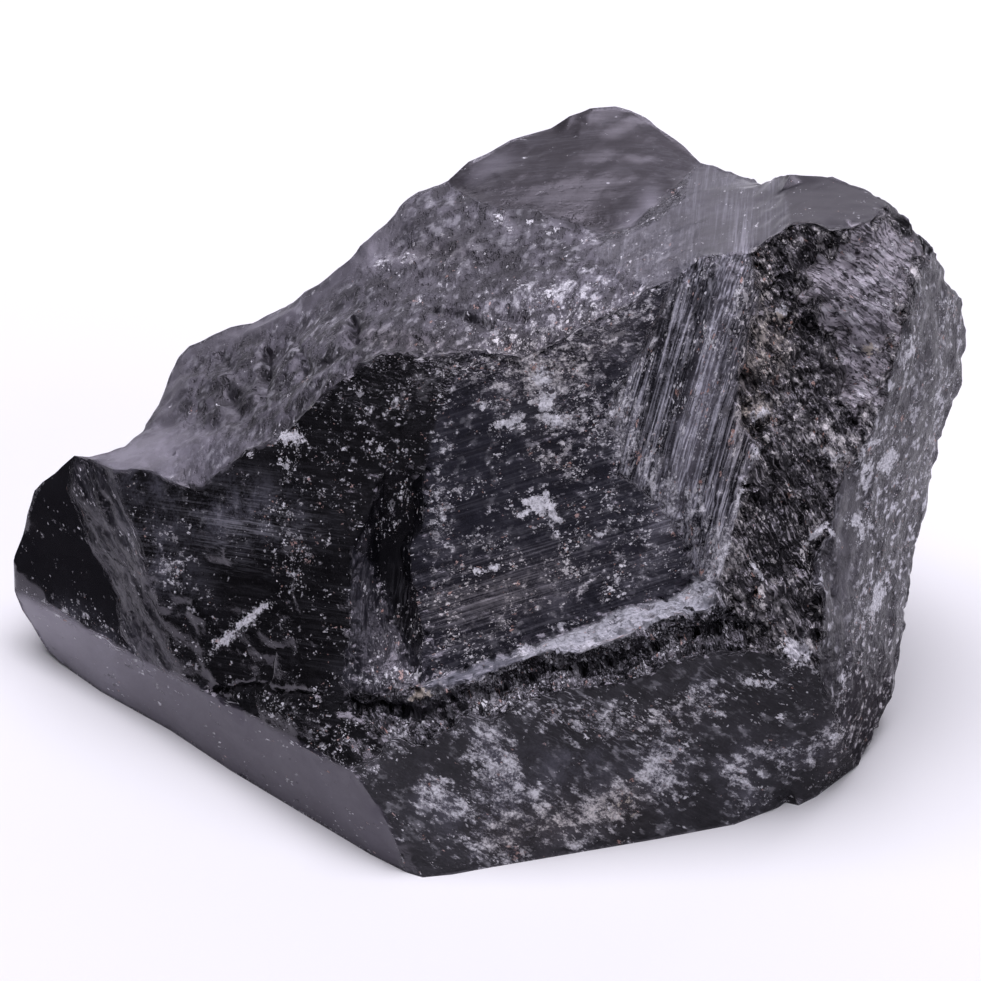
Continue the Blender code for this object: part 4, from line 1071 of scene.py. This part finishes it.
# Raised crumbs, striae and the glinting micro relief of the break.
relief = timesPlus(noiseNode(inMm, 1.5, 1.0, 0.6), 1.6, noiseNode(inMm, 4.5, 3.0, 0.7))
relief = times(relief, times(attribute("glint"), 1.6))
relief = timesPlus(dashesAndShade, -1.2, timesPlus(loose, 0.4, relief))
relief = timesPlus(times(fine, mathNode("MINIMUM", lineAmount, 0.5)), 0.8, relief)
values = {
    "Height": relief, "Strength": finish["bumpStrength"], "Distance": finish["bumpDistance"] * mm,
}
feed(surface["Normal"], addNode("ShaderNodeBump", values)["Normal"])

stone.data.materials.append(material)
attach(stone, "root")
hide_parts("tourmalinated_quartz")

print("studio: floor, lights and camera")
studio = {
    "floorSize": 6.0, "floorColour": (0.86, 0.86, 0.87, 1.0), "floorRoughness": 0.7,
    "cardColour": (0.005, 0.005, 0.006, 1.0), "cardRoughness": 0.9,
    "dimGrey": (0.045, 0.045, 0.05, 1.0), "backdrop": (0.93, 0.93, 0.94, 1.0),
    "filmWidth": 36.0, "nearest": 0.01, "furthest": 20.0,
}
softBoxes = {            # place, what it faces, width and height, power, colour
    "overhead": ((0.0, 0.10, 0.60), (0.0, 0.0, 0.0), (0.6, 0.5), 5.0, (0.94, 0.91, 1.0)),
    "back": ((0.05, 0.50, 0.22), (0.0, 0.0, 0.02), (0.7, 0.35), 0.85, (0.92, 0.88, 1.0)),
    "right": ((0.46, -0.20, 0.30), (0.0, 0.0, 0.02), (0.25, 0.25), 0.6, (0.92, 0.90, 1.0)),
}
darkCards = {            # place, width and depth, turn; only reflections see them
    "leftCard": ((-0.20, -0.02, 0.05), (0.10, 0.40), (0.0, 90.0, 0.0)),
    "leftFloorCard": ((-0.125, -0.02, 0.001), (0.15, 0.40), (0.0, 0.0, 0.0)),
    "frontFloorCard": ((0.085, -0.13, 0.001), (0.27, 0.20), (0.0, 0.0, 0.0)),
    # The foot card lies on the floor under the stone's front: a painted contact shadow, seen only
    # in reflections.
    "footShadowCard": ((0.020, -0.019, 0.0001), (0.044, 0.028), (0.0, 0.0, 14.0)),
}


def plainSheet(name, size, materialName, colour, roughness):
    bpy.ops.object.select_all(action="DESELECT")
    bpy.ops.mesh.primitive_plane_add(size=size, location=(0.0, 0.0, 0.0))
    sheet = bpy.context.object
    sheet.name = name
    made = bpy.data.materials.new(materialName)
    made.use_nodes = True
    surface = made.node_tree.nodes["Principled BSDF"].inputs
    surface["Base Color"].default_value = colour
    surface["Roughness"].default_value = roughness
    surface["Specular IOR Level"].default_value = 0.2
    sheet.data.materials.append(made)
    return sheet


floor = plainSheet(
    "studioFloor", studio["floorSize"], "palePaper", studio["floorColour"],
    studio["floorRoughness"],
)
for name, (place, target, size, power, colour) in softBoxes.items():
    bpy.ops.object.light_add(type="AREA", location=place)
    light = bpy.context.object
    light.name = name
    light.data.shape = "RECTANGLE"
    light.data.size, light.data.size_y = size
    light.data.energy = power
    light.data.color = colour
    light.rotation_mode = "QUATERNION"
    way = np.subtract(target, place)
    light.rotation_quaternion = Vector(way).to_track_quat("-Z", "Y")
for name, (place, size, turn) in darkCards.items():
    card = plainSheet(name, 1.0, "blackCard", studio["cardColour"], studio["cardRoughness"])
    bpy.ops.transform.resize(value=(*size, 1.0))
    card.rotation_euler = [math.radians(angle) for angle in turn]
    card.location = place
    for seen in ("visible_camera", "visible_diffuse", "visible_shadow", "visible_transmission"):
        setattr(card, seen, False)

world = bpy.data.worlds.new("studio")
bpy.context.scene.world = world
world.use_nodes = True
tree = world.node_tree
toCamera = addNode("ShaderNodeLightPath", {})["Is Camera Ray"]
shade = mixColour(toCamera, studio["dimGrey"], studio["backdrop"])
feed(tree.nodes["Background"].inputs["Color"], shade)

bpy.ops.object.camera_add(location=tuple(eye * mm), rotation=(math.radians(90.0) - tilt, 0.0, 0.0))
camera = bpy.context.object
camera.data.sensor_width = studio["filmWidth"]
camera.data.lens = studio["filmWidth"] * sight["distance"] / sight["pictureWidth"]
camera.data.clip_start = studio["nearest"]
camera.data.clip_end = studio["furthest"]
bpy.context.scene.camera = camera
bpy.context.scene.view_settings.view_transform = "Standard"
